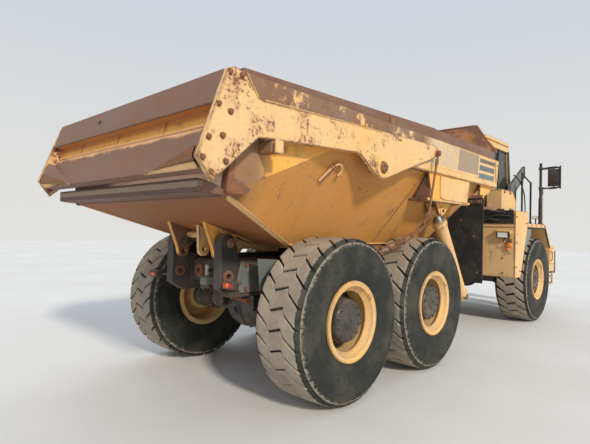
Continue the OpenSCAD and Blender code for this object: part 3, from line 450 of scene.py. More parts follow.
def make_finishes():
    """Every material, from the colours in the scene's settings."""
    c = colours()
    GROUPS.update(patina=patina_group(), steel=rubbed_steel_group(), tread=tread_group())
    pale, body = c["pale"], c["body"]
    bright = (0.78, 0.55, 0.31)
    painted("pale paint", pale, bright, fade=0.55, spots=0.26, edges=0.75, streaks=0.45, dust=0.25)
    painted("arm paint", pale, bright, fade=0.6, spots=0.74, edges=1.0, streaks=0.5, dust=0.2)
    painted("wheel paint", (0.78, 0.45, 0.13), bright, fade=0.5, spots=0.42, edges=0.5, streaks=0.2,
        dust=0.45)
    painted("chassis paint", c["chassis"], (0.06, 0.06, 0.058), fade=0.5, spots=0.3, edges=0.35,
        streaks=0.3, dust=0.55, gloss=0.55)
    painted("oily black", (0.014, 0.015, 0.014), (0.03, 0.03, 0.03), fade=0.4, spots=0.12, edges=0.1,
        streaks=0.0, dust=0.28, gloss=1.2)
    painted("grey paint", c["grey"], (0.24, 0.27, 0.25), fade=0.6, spots=0.25, edges=0.5, streaks=0.3,
        dust=0.5)
    painted("light paint", (0.5, 0.45, 0.36), (0.62, 0.56, 0.46), fade=0.6, spots=0.3, edges=0.5,
        streaks=0.3, dust=0.4)
    painted("trim black", (0.016, 0.016, 0.016), (0.05, 0.05, 0.05), fade=0.6, spots=0.0, edges=0.0,
        streaks=0.0, dust=0.35, gloss=0.4)
    painted("red paint", (0.36, 0.06, 0.05), (0.45, 0.16, 0.12), fade=0.5, spots=0.4, edges=0.6,
        streaks=0.0, dust=0.2)
    painted("seat cloth", (0.03, 0.03, 0.033), (0.05, 0.05, 0.055), fade=0.4, spots=0.0, edges=0.0,
        streaks=0.0, dust=0.2, gloss=0.1)
    rubbed("bare steel", c["steel"], c["rust"])
    rubbed("rusty steel", (0.2, 0.105, 0.062), (0.24, 0.085, 0.03), rust_share=0.65, dust=0.15)
    made, n, shader, out = rubbed("board rust", (0.19, 0.1, 0.07), (0.24, 0.09, 0.04), rust_share=0.6,
        dust=0.15)
    patches = n.ramp(n.noise(n.place(), 2.6, 9.0, 0.72), 0.45, 0.6)
    n.put(n.mix(n.times(patches, 0.8), out["Colour"], (0.56, 0.235, 0.09)), shader.inputs["Base Color"])

    # Tub: paint outside, scoured steel where the load slides
    made, n, shader, out = painted("tub paint", body, (0.88, 0.5, 0.14), fade=0.6, spots=0.5, edges=0.85,
        streaks=0.55, dust=0.2)
    bed = place_group(n, GROUPS["steel"], Steel=c["steel"], Rust=c["rust"], Dust=c["dust"], Rust_Share=0.45,
        Dust_Cover=0.35)
    place = n.split(n.place())
    facing = n.split(n.new("ShaderNodeNewGeometry").outputs["True Normal"])
    inward = n.ramp(n.times(n.times(facing[1], place[1]), -1.0), 0.02, 0.06)
    upward = n.times(n.ramp(facing[2], 0.1, 0.25), n.ramp(n.absolute(place[1]), 1.335, 1.325))
    backward = n.times(n.ramp(facing[0], -0.2, -0.4), n.ramp(place[0], REAR + 1.0, REAR + 1.2))
    inside = n.most(n.most(inward, upward), backward)
    tail = n.times(n.ramp(place[0], REAR - 1.4, REAR - 1.5), n.ramp(place[2], 1.86, 1.9))
    inside = n.most(inside, tail)
    # faces that turn downward are darkened to a deep red brown: painted shade
    under = n.ramp(facing[2], -0.25, -0.75)
    outside = n.mix(n.times(under, 0.86), out["Colour"], (0.2, 0.052, 0.018))
    spread = n.place()
    scrapes = n.ramp(n.noise(n.stretched(spread, (5.0, 5.0, 11.0)), 2.0, 4.0, 0.55), 0.655, 0.7)
    outside = n.mix(n.times(scrapes, 0.6), outside, (0.34, 0.13, 0.05))
    scuffed = n.times(n.ramp(place[0], REAR - 0.98, REAR - 1.22), n.ramp(place[2], 1.72, 1.86))
    scuffed = n.times(scuffed, n.less(0.85, under), clamp=True)
    outside = n.mix(scuffed, outside, bed["Colour"])
    # lip of the tail: its end face painted dark as shade, with a painted sunlit band across its middle
    edge = n.times(n.ramp(place[0], REAR - 1.66, REAR - 1.67), n.ramp(facing[0], -0.6, -0.8))
    ragged = n.noise(n.stretched(spread, (1.0, 5.0, 12.0)), 2.0, 5.0, 0.6)
    height = n.plus(place[2], n.times(n.less(ragged, 0.5), 0.02))
    painted_sunlit_band = n.times(n.ramp(height, 1.951, 1.957), n.ramp(height, 1.999, 1.993))
    plain = n.mix(n.times(edge, 0.6), bed["Colour"], (0.075, 0.05, 0.038))
    plain = n.mix(n.times(edge, n.times(painted_sunlit_band, 0.8)), plain, (0.34, 0.245, 0.165))
    n.put(n.mix(inside, outside, plain), shader.inputs["Base Color"])

    # Rails: faded band and stripes over the pale paint, brown steel along the top
    made, n, shader, out = painted("rail paint", pale, bright, fade=0.7, spots=0.6, edges=0.9, streaks=0.5,
        dust=0.2)
    place = n.split(n.place())
    bed = place_group(n, GROUPS["steel"], Steel=(0.2, 0.13, 0.1), Rust=c["rust"], Dust=c["dust"],
        Rust_Share=0.4, Dust_Cover=0.3)
    # bare and rusty above the gate's arm, with islands of paint
    ragged = n.noise(n.place(), 6.0, 8.0, 0.72)
    above = n.ramp(n.plus(place[2], n.times(n.less(ragged, 0.5), 0.06)), 2.6, 2.612)
    above = n.times(n.times(above, n.ramp(place[0], REAR + 1.6, REAR + 1.3)), n.ramp(ragged, 0.64, 0.54))
    top = n.most(n.ramp(place[2], 2.797, 2.803), n.times(above, 0.92))
    n.put(n.mix(top, rail_bands(n, out["Colour"]), bed["Colour"]), shader.inputs["Base Color"])

    # Gate: brown steel beam and lower panel, paint left in the recess
    made, n, shader, out = painted("gate paint", body, (0.7, 0.4, 0.12), fade=0.4, spots=0.5, edges=0.6,
        streaks=0.6, dust=0.1)
    place = n.split(n.place())
    bed = place_group(n, GROUPS["steel"], Steel=(0.19, 0.12, 0.09), Rust=(0.2, 0.09, 0.05), Dust=c["dust"],
        Rust_Share=0.35, Dust_Cover=0.25)
    beam = n.ramp(place[2], 2.508, 2.52)
    ragged = n.noise(n.stretched(n.place(), (6.0, 3.0, 8.0)), 1.5, 7.0, 0.68)
    lower = n.ramp(n.plus(place[2], n.times(n.less(ragged, 0.5), 0.14)), 2.372, 2.328)
    scoured = n.mix(n.times(n.ramp(place[2], 2.41, 2.385), 0.75), out["Colour"], (0.7, 0.41, 0.23))
    # darker rusty orange band on the shelf under the beam: part rust, part painted shade of the recess
    shelf = n.mix(n.times(n.ramp(place[2], 2.43, 2.47), 0.75), scoured, (0.44, 0.135, 0.035))
    n.put(n.mix(n.most(beam, lower), shelf, bed["Colour"]), shader.inputs["Base Color"])

    for name, dust_cover, tint in (("road rubber", 0.97, c["rubber"]),
            ("flap rubber", 0.3, (0.02, 0.02, 0.02))):
        made, n, shader = shader_material(name)
        out = place_group(n, GROUPS["tread"], Rubber=tint, Dust=c["dust"], Dust_Cover=dust_cover)
        n.put(out["Colour"], shader.inputs["Base Color"])
        n.put(out["Roughness"], shader.inputs["Roughness"])
        shader.inputs["Specular IOR Level"].default_value = 0.3
        bump(n, shader, out["Height"], 0.003)
        FINISHES[name] = made

    made, n, shader = shader_material("polished rod")
    place = n.place()
    film = n.ramp(n.noise(place, 14.0, 5.0, 0.65), 0.45, 0.75)
    n.put(n.mix(film, (0.62, 0.61, 0.58), (0.3, 0.27, 0.23)), shader.inputs["Base Color"])
    n.put(n.plus(0.16, n.times(film, 0.4)), shader.inputs["Roughness"])
    shader.inputs["Metallic"].default_value = 1.0
    FINISHES["polished rod"] = made

    made, n, shader = shader_material("dark glass")
    place = n.place()
    smear = n.ramp(n.noise(place, 5.0, 6.0, 0.7), 0.42, 0.78)
    n.put(n.mix(smear, (0.03, 0.045, 0.042), (0.1, 0.11, 0.1)), shader.inputs["Base Color"])
    n.put(n.plus(0.04, n.times(smear, 0.22)), shader.inputs["Roughness"])
    n.put(n.plus(0.62, n.times(smear, 0.22)), shader.inputs["Alpha"])
    FINISHES["dark glass"] = made

    for name, tint, rough in (("mirror glass", (0.24, 0.29, 0.29), 0.16),
            ("lamp glass", (0.85, 0.83, 0.76), 0.12), ("amber lens", (0.75, 0.22, 0.02), 0.2),
            ("red lens", (0.45, 0.02, 0.015), 0.2)):
        made, n, shader = shader_material(name)
        place = n.place()
        film = n.ramp(n.noise(place, 30.0, 4.0, 0.6), 0.5, 0.8)
        n.put(n.mix(n.times(film, 0.35), tint, c["dust"]), shader.inputs["Base Color"])
        n.put(n.plus(rough, n.times(film, 0.2)), shader.inputs["Roughness"])
        shader.inputs["Metallic"].default_value = 1.0 if name == "mirror glass" else 0.0
        if name != "mirror glass":
            ribs = n.new("ShaderNodeTexWave", bands_direction="Y")
            n.put(place, ribs.inputs["Vector"])
            ribs.inputs["Scale"].default_value = 40.0
            bump(n, shader, ribs.outputs["Fac"], 0.002)
        FINISHES[name] = made


NODE_FINISH = {
    "dump_body": "tub paint", "body_rails": "rail paint", "spill_board": "board rust",
    "mud_flaps": "flap rubber",
    "tailgate_panel": "gate paint", "tailgate_arms": "arm paint", "gate_links": "rusty steel",
    "gate_chains": "rusty steel",
    "hoist_barrels": "pale paint", "hoist_tubes": "polished rod", "hoist_sleeves": "polished rod",
    "hoist_rods": "polished rod",
    "steer_barrel_left": "pale paint", "steer_barrel_right": "pale paint", "steer_rod_left": "polished rod",
    "steer_rod_right": "polished rod",
    # the rear hinges take the dark chassis paint of the frames, also as painted shade of the deep shadow
    # under the tail
    "engine": "grey paint", "equalizer_beams": "grey paint", "rear_hinges": "chassis paint",
    "guard_screen": "grey paint",
    "hood": "pale paint", "fenders": "pale paint", "side_boxes": "pale paint", "step_boxes": "pale paint",
    "cab_shell": "pale paint", "cab_door": "pale paint", "air_box": "pale paint",
    "cab_glass": "dark glass", "door_glass": "dark glass", "cab_interior": "seat cloth",
    "grille": "trim black", "mirrors": "trim black", "handrails": "trim black", "lamps": "trim black",
}


def dress_nodes():
    """Gives every CAD node its finish."""
    for node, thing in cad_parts.items():
        name = NODE_FINISH.get(node, "wheel paint" if node.startswith("rim_") else "chassis paint")
        thing.data.materials.clear()
        thing.data.materials.append(FINISHES[name])




# Mesh building


def turns(count):
    """Angles that share a full turn evenly."""
    return [2 * pi * k / count for k in range(count)]


def skin(rows, steps):
    """Faces between the rings of a tube, each ring with a number of steps."""
    corners = ((0, 0), (0, 1), (1, 1), (1, 0))
    return [tuple((r + up) * steps + (k + on) % steps for up, on in corners) for r in range(rows)
        for k in range(steps)]


def rect(a, b, c, d):
    """Corners of a rectangle, from one corner to the opposite one."""
    return [(a, b), (c, b), (c, d), (a, d)]


def disc(radius, side, top, height):
    """Profile of a disc with a bevelled edge."""
    return [(radius, 0), (radius, side), (top, height), (TIP, height)]


class Form:
    """Gathers the faces of one piece, each with a finish.

    A place is a vector, or three numbers that are given from the form's axle.
    """

    def __init__(self, place=at):
        self.place = place
        self.verts, self.faces, self.finish, self.worn = [], [], [], []

    def add(self, verts, faces, finish=0, worn=None):
        """Adds faces. worn holds a share of road wear for each vertex."""
        first = len(self.verts)
        self.verts += [Vector(v) for v in verts]
        self.faces += [tuple(first + i for i in face) for face in faces]
        self.finish += [finish] * len(faces)
        self.worn += worn if worn is not None else [0.0] * len(verts)

    def spot(self, place):
        """A place as a vector."""
        return self.place(*place) if isinstance(place, tuple) else Vector(place)

    def flat(self, axis, level, outline):
        """Places across one axis at a level, from pairs of the other two coordinates."""
        k = "xyz".index(axis)
        return [self.place(*pair[:k], level, *pair[k:]) for pair in outline]

    def box(self, low, high, finish=0, turn=None):
        """A box from corner to corner, turned about its own middle."""
        low, high = self.spot(low), self.spot(high)
        centre = (low + high) / 2
        corners = [Vector((x, y, z)) for x in (low.x, high.x) for y in (low.y, high.y)
            for z in (low.z, high.z)]
        if turn is not None:
            corners = [centre + turn @ (c - centre) for c in corners]
        self.add(corners, [(0, 1, 3, 2), (4, 6, 7, 5), (0, 4, 5, 1), (2, 3, 7, 6), (0, 2, 6, 4),
            (1, 5, 7, 3)], finish)

    def prism(self, outline, travel, finish=0):
        """A flat outline of 3-D points pushed along a vector."""
        outline, travel = [self.spot(p) for p in outline], Vector(travel)
        count = len(outline)
        normal = sum(((outline[i] - outline[0]).cross(outline[i + 1] - outline[0])
            for i in range(1, count - 1)), Vector())
        if normal.dot(travel) > 0:
            outline.reverse()
        sides = [(i, i + count, (i + 1) % count + count, (i + 1) % count) for i in range(count)]
        self.add(outline + [p + travel for p in outline],
            [tuple(range(count)), tuple(reversed(range(count, 2 * count)))] + sides, finish)

    def slab(self, axis, level, outline, thick, finish=0):
        """A prism whose outline lies across one axis at a level, given by its other two coordinates."""
        travel = Vector()
        travel["xyz".index(axis)] = thick
        self.prism(self.flat(axis, level, outline), travel, finish)

    def pad(self, x, y, z, finish=0):
        """A box from its range along x, its middle and half width across, and its range in height."""
        self.box((x[0], y[0] - y[1], z[0]), (x[1], y[0] + y[1], z[1]), finish)

    def lathe(self, centre, axis, profile, steps=48, finish=0, cap=False):
        """A profile of (radius, along) points turned about an axis."""
        axis = Vector(axis).normalized()
        across = axis.orthogonal().normalized()
        other = axis.cross(across)
        rings = []
        for radius, along in profile:
            rings += [self.spot(centre) + axis * along + (across * cos(a) + other * sin(a)) * radius
                for a in turns(steps)]
        faces = skin(len(profile) - 1, steps)
        if cap:
            faces += [tuple(reversed(range(steps))), tuple(range(len(rings) - steps, len(rings)))]
        self.add(rings, faces, finish)

    def rod(self, start, end, radius, steps=12, finish=0, chamfer=0.0):
        """A round bar with closed ends."""
        start, end = self.spot(start), self.spot(end)
        length = (end - start).length
        profile = [(radius, 0), (radius, length)]
        if chamfer:
            profile = [(radius - chamfer, 0), (radius, chamfer), (radius, length - chamfer),
                (radius - chamfer, length)]
        self.lathe(start, end - start, profile, steps, finish, cap=True)

    def hose(self, points, radius, steps=10, finish=0, smooth=8):
        """A pipe through the points, with rounded bends."""
        path = rounded_path([self.spot(p) for p in points], smooth)
        rings, up = [], Vector((0.31, 0.17, 0.94))
        for i, p in enumerate(path):
            ahead_of = path[min(i + 1, len(path) - 1)] - path[max(i - 1, 0)]
            ahead_of.normalize()
            across = ahead_of.cross(up).normalized()
            up = across.cross(ahead_of).normalized()
            rings += [p + (across * cos(a) + up * sin(a)) * radius for a in turns(steps)]
        faces = skin(len(path) - 1, steps)
        faces += [tuple(reversed(range(steps))), tuple(range(len(rings) - steps, len(rings)))]
        self.add(rings, faces, finish)

    def bolt(self, seat, out, size, finish=0, washer=True):
        """A hexagon head on its washer. size is the head's width."""
        out = Vector(out).normalized()
        seat = self.spot(seat)
        if washer:
            self.lathe(seat, out, [(size * 0.68, 0), (size * 0.68, size * 0.1), (size * 0.3, size * 0.1)],
                14, finish)
        self.lathe(seat + out * size * 0.08, out, [(size * 0.57, 0), (size * 0.57, size * 0.48),
            (size * 0.47, size * 0.6), (0.0001, size * 0.6)], 6, finish)

    def bolt_ring(self, centre, axis, ring, count, size, finish=0, start=0.0):
        """Bolts on a circle of radius ring about an axis."""
        axis = Vector(axis).normalized()
        across = axis.orthogonal().normalized()
        other = axis.cross(across)
        for k in range(count):
            a = start + 2 * pi * k / count
            self.bolt(self.spot(centre) + (across * cos(a) + other * sin(a)) * ring, axis, size, finish)

    def weld(self, start, end, size=0.007, finish=0, seed=0):
        """A rippled weld bead between two places."""
        start, end = self.spot(start), self.spot(end)
        run = end - start
        count = max(3, int(run.length / 0.022))
        across = run.orthogonal().normalized()
        other = run.normalized().cross(across)
        dice = random.Random(seed)
        rings, sides = [], 7
        for k in range(count + 1):
            jitter = across * dice.uniform(-1, 1) + other * dice.uniform(-1, 1)
            place = start + run * (k / count) + jitter * size * 0.16
            swell = size * (0.25 if k in (0, count) else dice.uniform(0.82, 1.12))
            rings += [place + (across * cos(a) + other * sin(a)) * swell for a in turns(sides)]
        self.add(rings, skin(count, sides), finish)

    def make(self, name, body, finishes, soften=0.0, angle=35.0, slot=None, stands_for=()):
        """Turns the gathered faces into a piece that rides on a body."""
        mesh = bpy.data.meshes.new(name)
        mesh.from_pydata([tuple(v) for v in self.verts], [], self.faces)
        for finish in finishes:
            mesh.materials.append(FINISHES[finish])
        mesh.polygons.foreach_set("material_index", self.finish)
        if any(self.worn):
            worn = mesh.attributes.new("worn", "FLOAT", "POINT")
            worn.data.foreach_set("value", self.worn)
        mesh.validate()
        mesh.update()
        piece = bpy.data.objects.new(name, mesh)
        bpy.context.scene.collection.objects.link(piece)
        bpy.context.view_layer.objects.active = piece
        for face in mesh.polygons:
            face.use_smooth = True
        mesh.set_sharp_from_angle(angle=radians(angle))
        if soften:
            bevel = piece.modifiers.new("Soft edges", "BEVEL")
            bevel.width, bevel.segments = soften, 2
            bevel.limit_method, bevel.angle_limit = "ANGLE", radians(40)
            bevel.use_clamp_overlap = True
        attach(piece, body)
        if stands_for:
            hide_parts(*stands_for)
        return piece


def rounded_path(points, count):
    """Points along straight runs whose corners are rounded."""
    path = [points[0]]
    for before, corner, after in zip(points, points[1:], points[2:]):
        reach = min((corner - before).length, (after - corner).length) * 0.45
        start, end = corner + (before - corner).normalized() * reach, corner + (after
            - corner).normalized() * reach
        path += [start * (1 - t) ** 2 + corner * (2 * t * (1 - t)) + end * t ** 2
            for t in (k / count for k in range(count + 1))]
    return path + [points[-1]]


# Tyres


def tyre_form(bars, groove, zigzag, open_share, phase, seed):
    """A worn tyre about the Y axis: zigzag bars over a carcass, with ribbed walls."""
    form = Form()
    dice = random.Random(seed)
    half = TYRE_W / 2
    edge = half - 0.03
    pitch = 2 * pi / bars
    stations = 26
    across = [(-1 + 2 * k / (stations - 1)) * edge for k in range(stations)]

    def crown(u):
        """Radius of the bars' tops at a distance from the tyre's middle."""
        fall = max(0.0, (abs(u) - half * 0.72) / (edge - half * 0.72))
        return TYRE_R - 0.002 - 0.004 * (u / edge) ** 2 - 0.034 * fall ** 2.2

    def step(u):
        """How far a bar is shifted round the tyre there, in pitches."""
        s = u / edge
        if s < -0.28:
            lift = -0.1 + (s + 0.28) * 0.95
        elif s > 0.28:
            lift = 0.1 + (s - 0.28) * 0.95
        else:
            lift = -0.36 * s
        return zigzag * lift * 1.35

    rows = []
    for bar in range(bars):
        chip = [dice.uniform(-0.012, 0.012) for _ in across]
        for share, high in ((0.0, 0), (0.42, 0), (0.5, 0.75), (0.58, 1), (0.8, 1), (1.3, 1), (1.8, 1),
                (1.92, 1), (1.96, 0.75)):
            row = []
            for k, u in enumerate(across):
                gap = open_share * (1.0 + 1.5 * max(0.0, abs(u / edge) - 0.55))
                if share <= 0.5:
                    t = gap * share / 0.5
                elif share >= 1.9:
                    t = 1 - 0.04 * (2 - share) / 0.1
                else:
                    t = gap + (1 - gap) * (share - 0.5) / 1.5
                lip = 1.0 if 0 < k < stations - 1 else 0.0
                top = crown(u)
                r = top - groove * (1 - high * lip) * (1.0 if abs(u) < edge * 0.98 else 0.75)
                r -= 0.003 * dice.random() * high
                a = phase + pitch * (bar + t + step(u) + chip[k] * high)
                row.append(Vector((r * cos(a), u, r * sin(a))))
            rows.append((row, high))
    count = len(rows)
    verts = [v for row, _ in rows for v in row]
    worn = [(1.0 if high else 0.5) - 0.55 * min(1.0, max(0.0, (abs(across[k]) / edge - 0.8) / 0.1))
        for row, high in rows for k in range(stations)]
    faces = [(r * stations + k, ((r + 1) % count) * stations + k, ((r + 1) % count) * stations + k + 1,
        r * stations + k + 1) for r in range(count) for k in range(stations - 1)]
    form.add(verts, faces, 0, worn)
    # side walls, from the shoulder to the bead
    wall = [(edge - 0.004, TYRE_R - 0.046, 0.8), (half - 0.018, TYRE_R - 0.075, 0.62),
        (half - 0.01, TYRE_R - 0.1, 0.5), (half - 0.013, TYRE_R - 0.108, 0.4),
        (half - 0.004, TYRE_R - 0.135, 0.22), (half, TYRE_R - 0.19, 0.06),
        (half - 0.001, TYRE_R - 0.23, 0.0), (half - 0.008, TYRE_R - 0.28, 0.0),
        (half - 0.022, RIM_R + 0.095, 0.0), (half - 0.02, RIM_R + 0.08, 0.05),
        (half - 0.032, RIM_R + 0.06, 0.08), (half - 0.04, RIM_R + 0.03, 0.12),
        (half - 0.052, RIM_R + 0.008, 0.15), (half - 0.062, RIM_R - 0.032, 0.15)]
    steps = bars * 5
    for side in SIDES:
        verts, worn = [], []
        for u, r, grime in wall:
            for a in turns(steps):
                rough = 1 if r > RIM_R + 0.05 else 0
                wobble = 0.004 * noise.noise(Vector((cos(a) * 3, sin(a) * 3, u * 9 + seed))) * rough
                verts.append(Vector(((r + wobble) * cos(a), side * (u + wobble * 0.6),
                    (r + wobble) * sin(a))))
                worn.append(grime)
        faces = skin(len(wall) - 1, steps)
        if side < 0:
            faces = [tuple(reversed(face)) for face in faces]
        form.add(verts, faces, 0, worn)
    return form


def make_tyres():
    """Six tyres with worn zigzag bars, each a little different."""
    sizes = bpy.context.scene.dump_truck_tyres
    for number, (name, centre) in enumerate(WHEELS.items()):
        steering = name.startswith("front")
        form = tyre_form(sizes.front_bars if steering else sizes.bars, sizes.groove, sizes.zigzag,
            0.22 if steering else 0.115, 0.35 * number, 11 + number)
        side = 1 if centre.y > 0 else -1
        form.verts = [Vector((v.x, v.y * side, v.z)) + centre for v in form.verts]
        if side < 0:
            form.faces = [tuple(reversed(face)) for face in form.faces]
        form.make("tyre-tread-" + name.replace("_", "-"), "wheel_" + name, ["road rubber"], angle=50,
            slot="tyre", stands_for=["tyre_" + name])


# Wheels


def make_wheel_trim():
    """Black planetary hubs with their bolts, studs, lock rings and valves."""
    for name, centre in WHEELS.items():
        out = 1 if centre.y > 0 else -1
        axis = Vector((0, out, 0))
        form = Form()
        form.lathe(centre, axis, [(0.3148, 0.012), (0.314, 0.026), (0.3, 0.038), (0.25, 0.038),
            (0.236, 0.054), (0.226, 0.07), (0.214, 0.128), (0.212, 0.16), (0.206, 0.196), (0.192, 0.214),
            (0.15, 0.222), (0.09, 0.224), (0.082, 0.232), (0.06, 0.238), (TIP, 0.239)], 64, 0)
        form.bolt_ring(centre + axis * 0.038, axis, 0.276, 20, 0.03, 0)
        form.bolt_ring(centre + axis * 0.22, axis, 0.168, 12, 0.024, 0)
        form.bolt(centre + axis * 0.237 + Vector((0.0, 0, 0.018)), axis, 0.032, 0)
        # webs between the hub and the studs
        for a in turns(10):
            lean = Vector((cos(a), 0, sin(a)))
            form.prism([centre + lean * 0.211 + axis * 0.15, centre + lean * 0.25 + axis * 0.04,
                centre + lean * 0.211 + axis * 0.04], Vector((-sin(a), 0, cos(a))) * 0.012, 0)
        form.make("hub-" + name.replace("_", "-"), "wheel_" + name, ["oily black"], angle=30,
            slot="chassis_paint")
        ring = Form()
        lip = (TYRE_W / 2 - 0.074) + 0.036
        ring.lathe(centre, axis, [(RIM_R - 0.012, lip - 0.004), (RIM_R - 0.002, lip + 0.002),
            (RIM_R - 0.004, lip + 0.01), (RIM_R - 0.018, lip + 0.012), (RIM_R - 0.026, lip + 0.004),
            (RIM_R - 0.052, lip + 0.001), (RIM_R - 0.058, lip - 0.014), (RIM_R - 0.08, lip - 0.05),
            (RIM_R - 0.084, lip - 0.056), (RIM_R - 0.09, lip - 0.052), (RIM_R - 0.098, lip - 0.056),
            (RIM_R - 0.098, lip - 0.074), (RIM_R - 0.078, lip - 0.08)], 96, 0)
        # driving lugs of the lock ring, and the valve
        for a, reach in ((0.6, 0.03), (0.72, 0.022)):
            lean = Vector((cos(a), 0, sin(a)))
            ring.box(centre + lean * (RIM_R - 0.045) + axis * (lip + 0.004) - Vector((0.012, 0.006, 0.012)),
                centre + lean * (RIM_R - 0.045 + reach * 0.2) + axis * (lip + 0.012)
                + Vector((0.012, 0.006, 0.012)), 0)
        a = 2.2
        lean = Vector((cos(a), 0, sin(a)))
        ring.hose([centre + lean * (RIM_R - 0.08) + axis * (lip - 0.09), centre + lean * (RIM_R - 0.085)
            + axis * (lip - 0.03), centre + lean * (RIM_R - 0.11) + axis * (lip - 0.005)], 0.006, 8, 1)
        ring.make("lock-ring-" + name.replace("_", "-"), "wheel_" + name, ["wheel paint", "trim black"],
            angle=40, slot="wheel_paint")


# Body trim

SLOPE_OUT = Vector((0, 0.8605, -0.5096))


def on_side(x, z, side, out=0.0):
    """A place on the tub's sloping side, ahead of the fold."""
    return at(x, side * (tub_side(z) + SLOPE_OUT.y * out), z + SLOPE_OUT.z * out)


def make_body_trim():
    """Welds, edge strips, flanges, catches and gussets of the tipping body."""
    form = Form()
    paint, pale, steel, rust, dark = 0, 1, 2, 3, 4

    def rail_foot(x):
        """Height of the side rail's lower edge."""
        return 2.44 - 0.04 * (x + 1.4) / 5.1

    for s in SIDES:
        # plate seams on the sloping side
        form.weld(on_side(1.49, 2.297, s, 0.002), on_side(1.184, 1.515, s, 0.002), 0.006, paint, 3 + s)
        form.weld(on_side(2.44, 1.52, s, 0.003), on_side(3.36, 2.385, s, 0.003), 0.008, paint, 7 + s)
        # bright strip along the lower edge, from the tail's corner past the fold
        a, b, c = at(-1.47, s * 1.332, 1.897), at(-0.3, s * 0.836, 1.503), at(2.46, s * 0.836, 1.503)
        for p, q in ((a, b), (b, c)):
            form.prism([p + Vector((0, s * 0.016, 0.018)), p + Vector((0, s * 0.022, 0.004)),
                p + Vector((0, -s * 0.034, -0.013)), p + Vector((0, -s * 0.034, 0.004))], q - p, pale)
        # thick flange round the end of the side wall
        form.prism(form.flat("x", -1.502, [(s * 1.3, 1.88), (s * 1.372, 1.922), (s * 1.372, 2.02),
            (s * 1.352, 2.02), (s * 1.335, 1.925)]), (0.16, 0, -0.006), rust)
        form.prism([(-1.508, s * 1.345, 1.93), (-1.508, s * 1.376, 1.93), (-1.462, s * 1.384, 2.44),
            (-1.462, s * 1.345, 2.44)], (0.055, 0, 0), rust)
        form.slab("y", s * 1.354, [(-1.49, 1.932), (-1.3, 1.925), (-1.27, 1.96), (-1.47, 2.05)], s * 0.013,
            steel)
        # lower flange of the side rail, ahead of the arm
        form.slab("y", s * 1.4405, [(0.56, rail_foot(0.56) - 0.012), (3.7, rail_foot(3.7) - 0.012),
            (3.7, rail_foot(3.7) + 0.052), (0.56, rail_foot(0.56) + 0.052)], s * 0.0125, pale)
        form.prism([(0.56, s * 1.395, rail_foot(0.56) - 0.026), (3.69, s * 1.395, rail_foot(3.69) - 0.026),
            (3.69, s * 1.4525, rail_foot(3.69) - 0.026), (0.56, s * 1.4525, rail_foot(0.56) - 0.026)],
            (0, 0, 0.016), pale)
        # pale band edge at the rail's front end, and a cover plate there
        form.slab("y", s * 1.4405, [(3.655, rail_foot(3.65) + 0.055), (3.715, rail_foot(3.65) + 0.055),
            (3.775, 2.785), (3.655, 2.785)], s * 0.009, pale)
        for z in (2.5, 2.72):
            form.bolt((3.69 + (z - 2.5) * 0.12, s * 1.449, z), (0, s, 0), 0.028, pale)
        # weld joint and lap plate in the top strip
        form.slab("y", s * 1.4005, [(0.62, 2.795), (0.665, 2.795), (0.675, 2.895), (0.63, 2.893)], s * 0.01,
            rust)
        form.weld((0.69, s * 1.401, 2.8), (0.7, s * 1.401, 2.898), 0.007, pale, 11)
        form.weld((-1.38, s * 1.4, 2.803), (3.7, s * 1.4, 2.803), 0.009, rust, 12 + s)
        # lip along the top of the strip
        form.prism([(-1.39, s * 1.33, 2.838), (1.7, s * 1.33, 2.938), (1.7, s * 1.398, 2.938),
            (-1.39, s * 1.398, 2.838)], (0, 0, 0.01), rust)
        # stop block: its cap plate
        form.box(at(-1.198, s * 1.54, 2.232) if s > 0 else at(-1.198, -1.548, 2.232),
            at(-1.107, 1.548, 2.336) if s > 0 else at(-1.107, -1.54, 2.336), pale)
        # bent catch and its hanging pin under the arm
        catch = [(-0.2, 2.275), (-0.17, 2.305), (-0.11, 2.305), (-0.07, 2.275), (-0.07, 2.225), (-0.1, 2.205)]
        form.hose([on_side(x, z, s, 0.035) for x, z in catch], 0.013, 8, pale, 4)
        form.rod(on_side(-0.2, 2.275, s, 0.0), on_side(-0.2, 2.275, s, 0.045), 0.014, 10, pale)
        form.rod(on_side(-0.22, 2.262, s, 0.03), on_side(-0.3, 2.13, s, 0.018), 0.012, 10, pale, 0.003)
        form.rod(on_side(-0.18, 2.262, s, 0.03), on_side(-0.27, 2.125, s, 0.018), 0.009, 10, steel, 0.003)
        # hoist bracket: lower shelf lip, side gusset and cover of the pin
        form.slab("y", s * 1.4205, rect(1.46, 2.046, 2.42, 2.072), s * 0.012, pale)
        form.slab("y", s * 1.4205, [(1.94, 2.075), (2.6, 2.075), (2.68, 2.37), (1.8, 2.37), (1.8, 2.1)],
            s * 0.014, pale)
        form.weld((1.5, s * 1.41, 2.044), (2.7, s * 1.41, 2.044), 0.006, pale, 21)
        for x in (1.56, 2.66):
            form.slab("x", x, [(s * tub_side(2.1) * 1.004, 2.088), (s * 1.415, 2.088), (s * 1.415, 2.36),
                (s * tub_side(2.34) * 1.003, 2.34)], 0.016, paint)
        # keeper plates of the hoist's upper pin
        for y in (1.149 - 0.016, 1.311):
            form.lathe((2.1, s * y, 1.95), (0, s, 0), disc(0.06, 0.01, 0.052, 0.014), 28, pale)
            form.bolt((2.1, s * (y + 0.012), 1.95), (0, s, 0), 0.03, dark)
        # wedge gusset under the rail's front end
        form.slab("y", s * 1.362, [(3.26, 2.392), (3.74, 2.388), (3.5, 2.252)], s * 0.022, pale)
        # grease pipe with clips along the slope's upper edge
        form.hose([(1.6, s * 1.375, 2.395), (1.2, s * 1.368, 2.398), (0.6, s * 1.368, 2.402),
            (0.4, s * 1.385, 2.36)], 0.006, 8, steel)
        for x in (1.4, 0.9):
            form.pad((x, x + 0.02), (s * 1.372, 0.014), (2.385, 2.412), steel)
